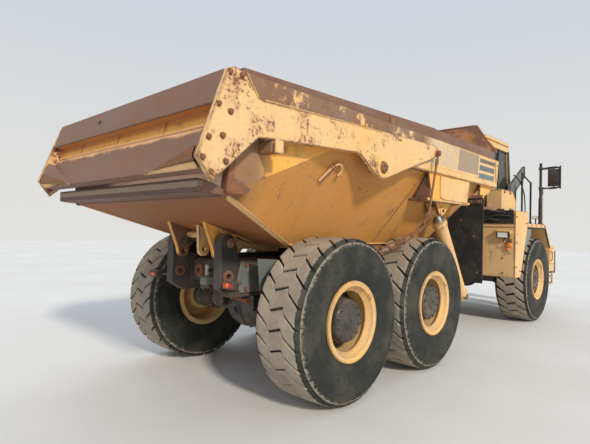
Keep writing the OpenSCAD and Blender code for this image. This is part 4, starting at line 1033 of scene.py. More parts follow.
    # tail: the floor wear plate's end and the weld bead over the lip
    form.prism([(-1.505, -1.28, 1.946), (-1.505, 1.28, 1.946), (-1.42, 1.28, 1.921), (-1.42, -1.28, 1.921)],
        (0, 0, 0.014), steel)
    form.weld((-1.495, -1.3, 1.898), (-1.495, 1.3, 1.898), 0.009, rust, 31)
    form.make("body-trim", "dump_body", ["tub paint", "pale paint", "bare steel", "rusty steel",
        "trim black"], soften=0.003, slot="body_paint")

    # Floor inside: weld seams scoured by the load
    bed = Form()
    for k, y in enumerate((-0.54, -0.18, 0.18, 0.54)):
        bed.weld((-0.28, y, 1.547), (2.42, y, 1.547), 0.006, 0, 41 + k)
    for k, x in enumerate((0.2, 0.95, 1.7)):
        bed.weld((x, -0.76, 1.546), (x, 0.76, 1.546), 0.006, 0, 47 + k)
        for s in SIDES:
            bed.weld((x, s * 0.79, 1.55), (x, s * 1.31, 2.39), 0.007, 0, 51 + k)
    bed.weld((-0.3, -0.78, 1.548), (-0.3, 0.78, 1.548), 0.008, 0, 61)
    bed.make("bed-welds", "dump_body", ["bare steel"], angle=30, slot="bare_steel")

    # Spill board: stiffener bars on its front face and bars along its edges
    board = Form()
    lean = 0.17 / 0.65

    def face(z, off):
        """How far forward the leaning board's face is at a height, with an offset."""
        return 3.775 + (z - 2.8) * lean + off

    for y in (-0.95, -0.32, 0.32, 0.95):
        board.slab("y", y - 0.03, [(face(2.83, 0.0), 2.83), (face(3.4, 0.0), 3.4),
            (face(3.36, 0.045), 3.36), (face(2.83, 0.06), 2.83)], 0.06, 0)
    for s in SIDES:
        p, q = at(face(2.935, -0.045), s * 1.38, 2.935), at(face(3.44, -0.045), s * 1.02, 3.44)
        board.prism([p, p + Vector((0.064, 0, 0)), p + Vector((0.064, s * 0.022, 0.012)),
            p + Vector((0, s * 0.022, 0.012))], q - p, 1)
    board.slab("y", -0.99, [(face(3.425, -0.052), 3.425), (face(3.425, 0.008), 3.425),
        (face(3.452, 0.008), 3.448), (face(3.452, -0.052), 3.448)], 1.98, 1)
    board.make("spill-board-bars", "dump_body", ["pale paint", "rusty steel"], soften=0.003,
        slot="bare_steel")

    # Mud flaps: bolted clamp bars, rivets and the strip near the lower edge
    flap = Form()
    for s in SIDES:
        flap.pad((3.176, 3.1995), (s * 1.15, 0.27), (2.1, 2.16), 0)
        for k in range(5):
            flap.bolt((3.176, s * 1.15 - 0.22 + 0.11 * k, 2.13), (-1, 0, 0), 0.03, 1)
        for dy, z in ((-0.15, 1.62), (0.18, 1.3), (-0.2, 1.08), (0.05, 1.86)):
            flap.lathe((3.1995, s * 1.15 + dy, z), (-1, 0, 0), [(0.016, 0), (0.014, 0.004), (TIP, 0.005)],
                12, 1)
        flap.slab("x", 3.1985, rect(s * 0.892, 0.935, s * 1.428, 0.955), -0.004, 2)
    flap.make("flap-clamps", "dump_body", ["chassis paint", "bare steel", "flap rubber"], soften=0.002,
        slot="rubber")


def make_hinge_trim():
    """Ears with their empty holes, red pins and notched gussets under the tail."""
    form = Form()
    pale, red = 0, 1

    def eye_plate(x, z, top, half, y, thick, hole, finish):
        """A tall rounded ear with a hole, hanging from the tail's underside."""
        steps = 28
        outer = [(x + half * cos(pi + pi * k / steps), z + half * sin(pi + pi * k / steps))
            for k in range(steps + 1)]
        inner = [(x + hole * cos(pi + pi * k / steps), z + hole * sin(pi + pi * k / steps))
            for k in range(steps + 1)]
        lower = outer + inner[::-1]

        def rise(px):
            """Height of the ear's slanted top."""
            return top - (px - x) * 0.333

        for front in (0, 1):
            base = y + thick * front
            verts = [at(px, base, pz) for px, pz in lower]
            faces = [(k, k + 1, 2 * steps + 1 - k - 1, 2 * steps + 1 - k) for k in range(steps)]
            top_arc = [(x + hole * cos(pi * k / steps), z + hole * sin(pi * k / steps))
                for k in range(steps + 1)]
            first = len(verts)
            verts += [at(px, base, pz) for px, pz in top_arc]
            corner = len(verts)
            verts += [at(x + half, base, z), at(x + half * 1.45, base, rise(x + half * 1.45)),
                at(x - half * 1.2, base, rise(x - half * 1.2)), at(x - half, base, z)]
            mid = steps // 2
            faces += [(first + k, first + k + 1, corner + 1) for k in range(mid)] + [(first, corner,
                corner + 1)]
            faces += [(first + k, first + k + 1, corner + 2) for k in range(mid, steps)] + [(first + mid,
                corner + 1, corner + 2), (first + steps, corner + 2, corner + 3)]
            form.add(verts, [tuple(reversed(f)) if front else f for f in faces], finish)
        for ring in (outer, inner + top_arc[1:]):
            verts = [at(px, y + thick * f, pz) for px, pz in ring for f in (0, 1)]
            form.add(verts, [(2 * k, 2 * k + 1, 2 * k + 3, 2 * k + 2) for k in range(len(ring) - 1)], finish)
        for px0, pz0, px1, pz1 in ((x + half, z, x + half * 1.45, rise(x + half * 1.45)),
                (x - half, z, x - half * 1.2, rise(x - half * 1.2))):
            form.add([at(px0, y, pz0), at(px0, y + thick, pz0), at(px1, y + thick, pz1), at(px1, y, pz1)],
                [(0, 1, 2, 3)], finish)

    # the middle ear, the rings of the lugs' empty holes and the caps of their pins
    eye_plate(-0.815, 1.44, 1.665, 0.062, -0.165, 0.045, 0.028, pale)
    for s in SIDES:
        form.lathe((-0.76, s * 0.345, 1.405), (0, s, 0), [(0.031, 0.001), (0.031, 0.006), (0.043, 0.006),
            (0.045, 0.001)], 32, red)
        form.lathe((-0.76, s * 0.345, 1.52), (0, s, 0), [(0.056, 0.0005), (0.056, 0.008), (0.04, 0.012),
            (TIP, 0.012)], 32, red)
        form.bolt((-0.76, s * 0.357, 1.52), (0, s, 0), 0.03, red)
        form.weld((-0.88, s * 0.365, 1.69), (-0.32, s * 0.365, 1.508), 0.008, pale, 71)
        # the stiffener fin beside each lug: strip with a notch
        fin = [(-0.56, 1.592), (-0.52, 1.475), (-0.485, 1.402), (-0.44, 1.402), (-0.375, 1.465),
            (-0.2, 1.44), (-0.1, 1.414), (0.13, 1.414), (0.165, 1.445), (0.165, 1.503), (-0.29, 1.503)]
        form.slab("y", s * 0.24, fin, s * 0.022, pale)
        form.slab("y", s * 0.262, ((-0.5, 1.52), (-0.46, 1.43), (-0.4, 1.45), (-0.4, 1.5), (-0.44, 1.55)),
            s * 0.01, pale)
        # small red plugs on the underside
        form.lathe((-0.7, s * 0.19, 1.635), (0.3, 0, -1), [(0.024, -0.01), (0.024, 0.012), (0.016, 0.02),
            (TIP, 0.021)], 20, red)
    form.rod((-0.8, -0.12, 1.565), (-0.8, -0.06, 1.565), 0.02, 18, red, 0.004)
    # cross tube that stiffens the ears
    form.rod((-0.7, -0.285, 1.585), (-0.7, 0.285, 1.585), 0.034, 24, pale, 0.004)
    form.make("hinge-ears", "dump_body", ["pale paint", "red paint", "rusty steel", "bare steel",
        "grey paint"], soften=0.002, slot="faded_paint")


# Tailgate trim

GATE_BOLTS = ((-1.601, 2.738), (-1.492, 2.741), (-1.692, 2.501), (-1.589, 2.466), (-1.768, 2.266),
    (-1.652, 2.291), (-1.812, 2.125), (-1.742, 2.035), (-1.62, 2.12))


def make_gate_trim():
    """Bolts, pins, weld beads, lips and the rims of holes of the tailgate and its arms."""
    form = Form()
    pale, steel, rust, dark, paint = 0, 1, 2, 3, 4
    for s in SIDES:
        for x, z in GATE_BOLTS:
            form.bolt((x, s * ARM_Y, z), (0, s, 0), 0.034, rust)
        for x, z in GATE_BOLTS[2:8]:
            form.bolt((x, s * (ARM_Y - 0.04), z), (0, -s, 0), 0.036, rust)
        # weld beads round the side plate
        edges = [((-1.728, 1.972), (-1.85, 2.13)), ((-1.85, 2.13), (-1.622, 2.758)),
            ((-1.468, 2.772), (-1.335, 2.618)), ((-1.285, 2.603), (0.33, 2.668))]
        for k, (p, q) in enumerate(edges):
            form.weld((p[0] + 0.012, s * ARM_Y, p[1] + 0.012), (q[0] + 0.012, s * ARM_Y, q[1] - 0.012),
                0.007, pale, 81 + k)
        # boss and pin at the arm's pivot, front pin and its washer
        form.lathe((0.34, s * ARM_Y, 2.3), (0, s, 0), [(0.105, 0.0005), (0.105, 0.012), (0.096, 0.018),
            (0.062, 0.018), (0.06, 0.006)], 40, pale)
        form.lathe((0.34, s * 1.5295, 2.3), (0, s, 0), disc(0.052, 0.008, 0.044, 0.014), 32, rust)
        for k in range(3):
            a = 0.4 + k * 2.1
            form.bolt((0.34 + 0.028 * cos(a), s * 1.542, 2.3 + 0.028 * sin(a)), (0, s, 0), 0.016, dark,
                washer=False)
        form.lathe((1.51, s * ARM_Y, 2.6), (0, s, 0), [(0.042, 0.0005), (0.042, 0.01), (0.03, 0.013),
            (0.017, 0.013)], 28, pale)
        form.lathe((1.51, s * 1.5505, 2.6), (0, s, 0), disc(0.03, 0.006, 0.018, 0.01), 24, rust)
        # rub plate where the arm meets the rest
        form.slab("y", s * (ARM_Y - 0.0395), [(-1.25, 2.33), (-1.06, 2.339), (-1.06, 2.352),
            (-1.25, 2.342)], s * 0.04, steel)
        # lip strip and corner wedge along the gate's lower corner
        form.prism([(-1.7905, s * 1.435, 2.059), (-1.7905, s * 0.72, 2.059), (-1.793, s * 0.8, 2.083),
            (-1.827, s * 1.435, 2.103)], (-0.007, 0, -0.004), pale)
        form.prism([(-1.792, s * 0.86, 2.086), (-1.829, s * 1.436, 2.106), (-1.8415, s * 1.436, 2.124),
            (-1.8395, s * 1.436, 2.156), (-1.817, s * 1.436, 2.21)], (-0.005, 0, 0.002), rust)
    # two small holes' rims on the beam
    for dz in (0, 0.035):
        form.lathe((-1.662, 0.4, 2.62 + dz), (-1, 0, 0.3), [(0.018, -0.004), (0.018, 0.003), (0.008, 0.003),
            (0.007, -0.004)], 18, dark)
    # weld beads on the gate's back
    form.weld((-1.655, -1.44, 2.382), (-1.655, 1.44, 2.382), 0.008, paint, 91)
    form.weld((-1.705, -1.44, 2.514), (-1.705, 1.44, 2.514), 0.008, steel, 92)
    form.weld((-1.792, -1.44, 2.064), (-1.792, 1.44, 2.064), 0.008, steel, 93)
    for k, y in enumerate((-0.75, 0.05, 0.85)):
        form.weld((-1.622, y, 2.498), (-1.65, y + 0.01, 2.388), 0.006, paint, 95 + k)
    form.make("gate-trim", "tailgate", ["wheel paint", "bare steel", "rusty steel", "trim black",
        "gate paint"], soften=0.0, angle=40, slot="faded_paint")


def make_hoist_trim():
    """Glands, pin keepers and feed lines of the hoists."""
    foot, top = at(2.95, 0, 0.75), at(2.1, 0, 1.95)
    along = (top - foot).normalized()
    reach = (top - foot).length
    for side in SIDES:
        y = Vector((0, side * 1.23, 0))
        barrel = Form()
        barrel.lathe(foot + y, along, [(0.087, 0.032), (0.098, 0.04), (0.098, 0.085), (0.087, 0.094)], 48, 0)
        barrel.lathe(foot + y, along, [(0.0865, reach - 0.255), (0.094, reach - 0.25),
            (0.094, reach - 0.185), (0.09, reach - 0.172), (0.0865, reach - 0.17)], 48, 0)
        for a in turns(8):
            across = Vector((0, 1, 0))
            other = along.cross(across)
            spot = foot + y + along * (reach - 0.22) + (across * cos(a) + other * sin(a)) * 0.094
            barrel.box(spot - Vector((0.007, 0.007, 0.012)), spot + Vector((0.007, 0.007, 0.012)), 0)
        barrel.hose([foot + y + along * t - Vector((0, side * r, 0))
            for t, r in ((0.13, 0.085), (0.15, 0.125), (0.6, 0.118), (1.0, 0.112), (1.05, 0.07))], 0.011,
            10, 1)
        for t in (0.4, 0.8):
            barrel.box(foot + y + along * t + Vector((-0.016, -side * 0.107 - 0.027, -0.014)),
                foot + y + along * t + Vector((0.016, -side * 0.107 + 0.027, 0.014)), 2)
        for t in (-0.066, 0.066):
            barrel.lathe(foot + y + Vector((0, side * 0.0, 0)), (0, copysign(1, t), 0),
                [(0.075, 0.0405), (0.058, 0.0405), (0.05, 0.044), (0.036, 0.044)], 36, 0)
        barrel.make("hoist-barrel-trim-" + ("left" if side > 0 else "right"), "hoist_barrels",
            ["pale paint", "trim black", "bare steel"], angle=35, slot="faded_paint")
        wiper = Form()
        wiper.lathe(foot + y, along, [(0.0585, reach - 0.15), (0.0705, reach - 0.148),
            (0.0705, reach - 0.137), (0.0585, reach - 0.134)], 40, 0)
        wiper.make("hoist-wiper-" + ("left" if side > 0 else "right"), "hoist_tubes", ["trim black"],
            slot="chrome_rod")
        eye = Form()
        eye.lathe(top + y, (0, 1, 0), [(0.0345, -0.0378), (0.0665, -0.0378), (0.07, -0.034), (0.07, 0.034),
            (0.0665, 0.0378), (0.0345, 0.0378)], 40, 0)
        eye.bolt(top + y + Vector((0.0, 0, 0.068)), (0, 0, 1), 0.018, 1)
        eye.make("hoist-eye-" + ("left" if side > 0 else "right"), "hoist_rods",
            ["pale paint", "bare steel"], slot="chrome_rod")


# Rear frame, axles and hitch


def make_axle_trim():
    """Axle pads, brake units, housing bolts, torque rod ends and links."""
    for name, x, body in (("rear", 0.0, "rear_frame"), ("middle", TANDEM, "rear_frame"),
            ("front", FRONT, "front_frame")):
        form = Form()
        black, bolt, grey, rust = 0, 1, 2, 3
        # round housing flange with its bolts, on both faces of the differential
        for s in SIDES:
            form.bolt_ring((x, s * 0.075, AXLE_Z), (0, s, 0), 0.248, 18, 0.026, bolt)
            form.lathe((x, s * 0.066, AXLE_Z), (0, s, 0), [(0.262, 0), (0.262, 0.014), (0.232, 0.014),
                (0.228, 0.002)], 56, black)
            form.lathe((x, s * 0.62, AXLE_Z), (0, s, 0), [(0.1205, 0), (0.142, 0.006), (0.142, 0.036),
                (0.1205, 0.042)], 48, black)
            form.bolt_ring((x, s * 0.662, AXLE_Z), (0, s, 0), 0.131, 12, 0.018, bolt)
            # brake unit and its hose
            form.lathe((x - 0.06, s * 0.56, AXLE_Z + 0.155), (-1, 0, 0),
                [(TIP, -0.03), (0.058, -0.03), (0.07, -0.02), (0.07, 0.03), (0.078, 0.034), (0.078, 0.046),
                (0.07, 0.05), (0.066, 0.09), (0.05, 0.11), (TIP, 0.112)], 36, black)
            form.pad((x - 0.1, x - 0.02), (s * 0.56, 0.03), (AXLE_Z + 0.105, AXLE_Z + 0.15), grey)
            form.hose([(x - 0.12, s * 0.56, AXLE_Z + 0.205), (x - 0.14, s * 0.52, AXLE_Z + 0.27),
                (x - 0.1, s * 0.44, AXLE_Z + 0.3), (x - 0.02, s * 0.36, AXLE_Z + 0.29)], 0.01, 8, black)
        # drain plug, filler plug and ribs on the bulge
        for k in range(8):
            a = 2 * pi * k / 8 + 0.3
            out = Vector((cos(a), 0, sin(a)))
            p = at(x, 0, AXLE_Z) + out * 0.259
            form.prism([p + Vector((0, -0.055, 0)), p + Vector((0, 0.055, 0)),
                p + out * 0.01 + Vector((0, 0.04, 0)), p + out * 0.01 + Vector((0, -0.04, 0))],
                Vector((-sin(a), 0, cos(a))) * 0.014, black)
        form.bolt((x - 0.259, 0.0, AXLE_Z - 0.05), (-1, 0, 0), 0.05, bolt)
        form.bolt((x, 0.02, AXLE_Z - 0.259), (0, 0, -1), 0.04, bolt)
        if name != "front":
            # pads and U-bolts that tie the beam's end to the axle
            for s in SIDES:
                mid = s * 0.6
                form.pad((x - 0.15, x + 0.15), (mid, 0.068), (AXLE_Z + 0.211, AXLE_Z + 0.226), bolt)
                for dx in (-0.105, 0.105):
                    strap = ((-0.075, 0.24), (-0.075, 0.05), (-0.05, -0.135), (0.05, -0.135), (0.075, 0.05),
                        (0.075, 0.24))
                    form.hose([(x + dx, mid + dy, AXLE_Z + dz) for dy, dz in strap], 0.012, 8, rust, 3)
                    for e in (-0.075, 0.075):
                        form.bolt((x + dx, mid + e, AXLE_Z + 0.226), (0, 0, 1), 0.03, bolt)
            # torque rod ends, with their clamp bolts
            way = 1 if name == "rear" else -1
            for s in SIDES:
                for reach in (0.125, 0.74):
                    spot = at(x + way * reach, s * 0.23, AXLE_Z - 0.16)
                    form.lathe(spot, (way, 0, 0), [(0.0325, -0.02), (0.044, -0.014), (0.044, 0.044),
                        (0.0325, 0.05)], 28, rust)
                    form.bolt(spot + Vector((way * 0.015, 0, 0.043)), (0, 0, 1), 0.022, bolt)
        if name == "rear":
            # sway link with bolted rusty clamps behind the axle, and its two brackets
            form.rod((-0.3, -0.36, AXLE_Z + 0.075), (-0.3, 0.2, AXLE_Z + 0.125), 0.028, 18, rust, 0.004)
            for y in (-0.3, -0.02, 0.12):
                form.lathe((-0.3, y - 0.03, AXLE_Z + 0.0785 + (y + 0.36) * 0.09), (0, 1, 0.09),
                    [(0.029, 0), (0.046, 0.006), (0.046, 0.054), (0.029, 0.06)], 22, rust)
                form.bolt((-0.344, y, AXLE_Z + 0.08 + (y + 0.36) * 0.09), (-1, 0, 0), 0.028, rust)
            for y in (-0.34, 0.18):
                form.pad((-0.325, -0.235), (y, 0.035), (AXLE_Z - 0.01, AXLE_Z + 0.155), black)
        form.make("axle-trim-" + name, body, ["oily black", "chassis paint", "grey paint", "rusty steel"],
            angle=32, slot="chassis_paint")


def make_frame_trim():
    """Pipes, hoses, valves, tanks, lamps, plates and bolts of the rear frame."""
    form = Form()
    black, grey, rust, steel = range(4)
    pin = 6
    for s in SIDES:
        y_out = s * 0.4752
        # pin caps and keeper bolts of the dump hinge, rims of the tie holes
        form.lathe((-0.76, s * 0.5115, 1.52), (0, s, 0), disc(0.046, 0.008, 0.036, 0.014), 32, rust)
        form.bolt((-0.76, s * 0.525, 1.52), (0, s, 0), 0.03, rust)
        for side in (y_out, s * 0.3645):
            away = copysign(1, side) if abs(side) > 0.42 else -copysign(1, side)
            form.lathe((-0.75, side, 1.19), (0, away, 0), [(0.031, 0.0), (0.031, 0.01), (0.058, 0.01),
                (0.062, 0.0005)], 36, rust)
        # side plates that stiffen the hinge, with welds and bolts
        form.slab("y", y_out, [(-0.6, 1.34), (-0.26, 1.335), (-0.2, 1.22), (-0.26, 1.02), (-0.6, 1.02),
            (-0.66, 1.1)], s * 0.014, grey)
        form.weld((-0.605, y_out + s * 0.014, 1.336), (-0.26, y_out + s * 0.014, 1.332), 0.006, grey, 101)
        for x, z in ((-0.54, 1.3), (-0.3, 1.29), (-0.54, 1.06), (-0.3, 1.06)):
            form.bolt((x, y_out + s * 0.014, z), (0, s, 0), 0.034, rust)
        # tall side shield between the rail and the tyre
        form.slab("y", s * 0.72, [(-0.6, 1.375), (-0.34, 1.36), (-0.3, 1.2), (-0.4, 1.09), (-0.56, 1.06)],
            s * 0.012, grey)
        form.slab("y", s * 0.489, rect(-0.5, 1.31, -0.4, 1.22), s * 0.232, black)
        # rubber stop, its seat and the equalizer's hub cap
        form.lathe((TANDEM / 2, s * 0.6905, 1.08), (0, s, 0),
            [(0.102, 0.0005), (0.102, 0.012), (0.086, 0.024), (TIP, 0.026)], 44, grey)
        form.bolt_ring((TANDEM / 2, s * 0.7085, 1.08), (0, s, 0), 0.066, 6, 0.024, rust)
        for x in (0.12, TANDEM - 0.12):
            form.lathe((x, s * 0.53, 1.185), (0, 0, -1), [(TIP, -0.1), (0.055, -0.1), (0.055, -0.02),
                (0.072, 0.0), (0.08, 0.035), (0.07, 0.07), (0.05, 0.085), (TIP, 0.086)], 32, black)
            form.box((x - 0.05, y_out - (0.0 if s > 0 else 0.1), 1.24),
                (x + 0.05, y_out + (0.1 if s > 0 else 0.0), 1.3), black)
        # pipes along the rails, with clips
        for z in (1.335, 1.305, 1.275):
            form.hose(form.flat("y", y_out + s * 0.022, [(2.95, z - 0.06), (2.6, z), (1.3, z), (-0.14, z)]),
                0.009, 8, black, 5)
        for x in (0.35, 1.1, 1.45, 2.15, 2.5):
            form.box((x, min(y_out, y_out + s * 0.036), 1.258), (x + 0.03, max(y_out, y_out + s * 0.036),
                1.352), steel)
            form.bolt((x + 0.015, y_out + s * 0.036, 1.32), (0, s, 0), 0.016, rust)
        # hoist foot: pin cap, gusset and hose
        form.slab("y", s * 0.476, rect(2.9, 0.835, 3.0, 0.92), s * 0.4, black)
        form.lathe((2.95, s * 1.3055, 0.75), (0, s, 0), disc(0.05, 0.008, 0.04, 0.014), 32, black)
        for k in range(3):
            a = 2.1 * k
            form.bolt((2.95 + 0.026 * cos(a), s * 1.3195, 0.75 + 0.026 * sin(a)), (0, s, 0), 0.015, rust,
                washer=False)
        form.hose([(2.8, y_out + s * 0.03, 1.25), (2.78, s * 0.62, 1.16), (2.8, s * 0.9, 0.98),
            (2.83, s * 1.05, 0.9)], 0.017, 10, black)
        # anchor arm of the chain
        form.slab("x", 0.945, [(s * 0.476, 1.3), (s * 0.92, 1.3), (s * 0.476, 1.18)], 0.07, black)
        # tail lamp with its three lenses, on a bracket
        form.pad((-0.905, -0.845), (s * 0.66, 0.075), (1.1, 1.17), black)
        for dy, tone in ((-0.042, 7), (0.0, 8), (0.042, 7)):
            form.lathe((-0.905, s * 0.66 + dy, 1.135), (-1, 0, 0),
                [(0.024, 0), (0.024, 0.008), (0.016, 0.014), (TIP, 0.015)], 24, tone)
        form.slab("z", 1.128, [(-0.846, s * 0.475), (-0.846, s * 0.62), (-0.7, s * 0.62),
            (-0.6, s * 0.475)], 0.012, black)
    # closing plate between the hinges, with its hexagon plug and the pale pin over it
    form.slab("x", -0.585, rect(-0.36, 1.1, 0.36, 1.3), 0.014, black)
    form.lathe((-0.66, -0.02, 1.075), (0, 0, 1), [(TIP, -0.01), (0.07, -0.01), (0.084, 0.0), (0.084, 0.062),
        (0.066, 0.08), (TIP, 0.08)], 6, grey)
    form.box((-0.7, -0.09, 1.03), (-0.585, 0.05, 1.066), black)
    form.rod((-0.66, -0.01, 1.155), (-0.66, -0.01, 1.275), 0.022, 16, pin, 0.004)
    form.box((-0.67, -0.035, 1.2), (-0.585, 0.015, 1.225), black)
    for y in (-0.2, 0.22):
        form.lathe((-0.585, y, 1.2), (-1, 0, 0), [(0.075, 0), (0.075, 0.02), (0.06, 0.03), (0.03, 0.03),
            (0.028, 0.005)], 32, rust if y > 0 else grey)
        form.bolt_ring((-0.605, y, 1.2), (-1, 0, 0), 0.06, 6, 0.018, rust)
    form.hose([(-0.56, 0.1, 1.12), (-0.62, 0.16, 1.02), (-0.5, 0.22, 0.96), (-0.3, 0.25, 1.0),
        (-0.1, 0.27, 1.05)], 0.014, 10, black)
    form.hose([(-0.56, 0.05, 1.12), (-0.6, 0.02, 1.0), (-0.48, -0.08, 0.95), (-0.28, -0.2, 1.02),
        (-0.1, -0.27, 1.06)], 0.012, 10, black)
    # valve block and its pipes on the second cross member, air tanks between the rails
    form.box((0.7, -0.18, 1.322), (0.9, 0.18, 1.4), grey)
    for k in range(5):
        form.lathe((0.76, -0.14 + 0.07 * k, 1.4), (0, 0, 1), disc(0.022, 0.02, 0.014, 0.03), 16, steel)
        form.hose([(0.84, -0.14 + 0.07 * k, 1.4), (0.84, -0.14 + 0.07 * k, 1.44),
            (0.98, -0.16 + 0.08 * k, 1.44), (1.4, -0.2 + 0.1 * k, 1.38), (2.6, -0.2 + 0.1 * k, 1.32),
            (3.35, -0.16 + 0.08 * k, 1.3)], 0.014, 8, black, 5)
    for s in SIDES:
        form.lathe((1.75, s * 0.19, 1.16), (1, 0, 0), [(TIP, 0), (0.06, 0.012), (0.098, 0.05), (0.1, 0.09),
            (0.1, 0.56), (0.098, 0.6), (0.06, 0.64), (TIP, 0.65)], 40, grey)
        for x in (1.86, 2.26):
            form.lathe((x, s * 0.19, 1.16), (1, 0, 0), [(0.1005, 0), (0.106, 0.002), (0.106, 0.034),
                (0.1005, 0.036)], 40, steel)
            form.box((x, min(s * 0.28, s * 0.365), 1.14), (x + 0.036, max(s * 0.28, s * 0.365), 1.18), steel)
    # shaft joints and the bearing's bolts
    for x, sign in ((0.262, 1), (TANDEM - 0.262, -1), (TANDEM + 0.262, 1), (3.55, -1)):
        spot = at(x, 0, AXLE_Z)
        form.lathe(spot, (sign, 0, 0), [(0.062, 0), (0.092, 0.004), (0.092, 0.02), (0.066, 0.03),
            (0.072, 0.07), (0.06, 0.1), (0.056, 0.11)], 36, black)
        form.bolt_ring(spot + Vector((sign * 0.02, 0, 0)), (sign, 0, 0), 0.078, 8, 0.016, steel)
    # oscillation tube: its two collars and the bolts of one
    form.lathe((3.62, 0, 1.0), (1, 0, 0), [(0.201, 0), (0.222, 0.008), (0.222, 0.06), (0.201, 0.07)], 56,
        black)
    form.lathe((4.085, 0, 1.0), (1, 0, 0), [(0.201, 0), (0.216, 0.004), (0.216, 0.058), (0.201, 0.062)], 56,
        black)
    form.bolt_ring((4.147, 0, 1.0), (1, 0, 0), 0.178, 16, 0.018, steel)
    form.make("frame-trim", "rear_frame", ["chassis paint", "grey paint", "rusty steel", "bare steel",
        "pale paint", "red paint", "light paint", "red lens", "amber lens"], angle=32, slot="chassis_paint")


def make_hitch_trim():
    """Bolts, collars, gussets and hoses of the steering joint and its cylinders."""
    form = Form()
    for z, way in ((1.131, 1), (0.869, -1)):
        form.lathe((4.55, 0, z), (0, 0, way), [(0.15, -0.001), (0.15, 0.0), (0.11, 0.001), (0.0625, 0.001)],
            40, 0)
    form.bolt_ring((4.2405, 0, 1.0), (1, 0, 0), 0.2, 12, 0.026, 1, 0.26)
    for s in SIDES:
        form.lathe((4.25, s * 0.2, 1.4255), (0, 0, 1), disc(0.034, 0.008, 0.026, 0.013), 24, 1)
        form.bolt((4.165 + 0.02, s * 0.24, 1.4255), (0, 0, 1), 0.02, 1)
        form.slab("y", s * 0.14, [(4.1965, 1.14), (4.26, 1.14), (4.1965, 1.225)], s * 0.014, 0)
    form.hose([(4.2, 0.05, 1.16), (4.22, 0.06, 1.26), (4.3, 0.08, 1.3), (4.42, 0.07, 1.22),
        (4.5, 0.05, 1.15)], 0.014, 8, 2)
    form.make("hitch-trim", "hitch", ["chassis paint", "bare steel", "trim black"], angle=32,
        slot="chassis_paint")
    angle = atan2(0.1, 1.05)
    for side in SIDES:
        label = "left" if side > 0 else "right"
        way = Vector((cos(angle), side * sin(angle), 0))
        foot = at(4.25, side * 0.2, 1.33)
        barrel = Form()
        barrel.lathe(foot, way, [(0.0605, 0.655), (0.068, 0.66), (0.068, 0.715), (0.062, 0.7205),
            (0.0335, 0.7215)], 40, 0)
        barrel.bolt_ring(foot + way * 0.7205, way, 0.052, 8, 0.013, 1)
        up = Vector((0, 0, 1))
        barrel.lathe(foot + way * 0.12 + up * 0.055, up, disc(0.02, 0.022, 0.013, 0.03), 18, 1)
        barrel.hose([foot + way * 0.12 + up * 0.08, foot + way * 0.12 + up * 0.12,
            foot + way * 0.3 + up * 0.115, foot + way * 0.55 + up * 0.1, foot + way * 0.62 + up * 0.058],
            0.009, 8, 2)
        barrel.make("steer-barrel-trim-" + label, "steer_barrel_" + label,
            ["pale paint", "bare steel", "trim black"], angle=32, slot="faded_paint")


# Cab, fenders and nose


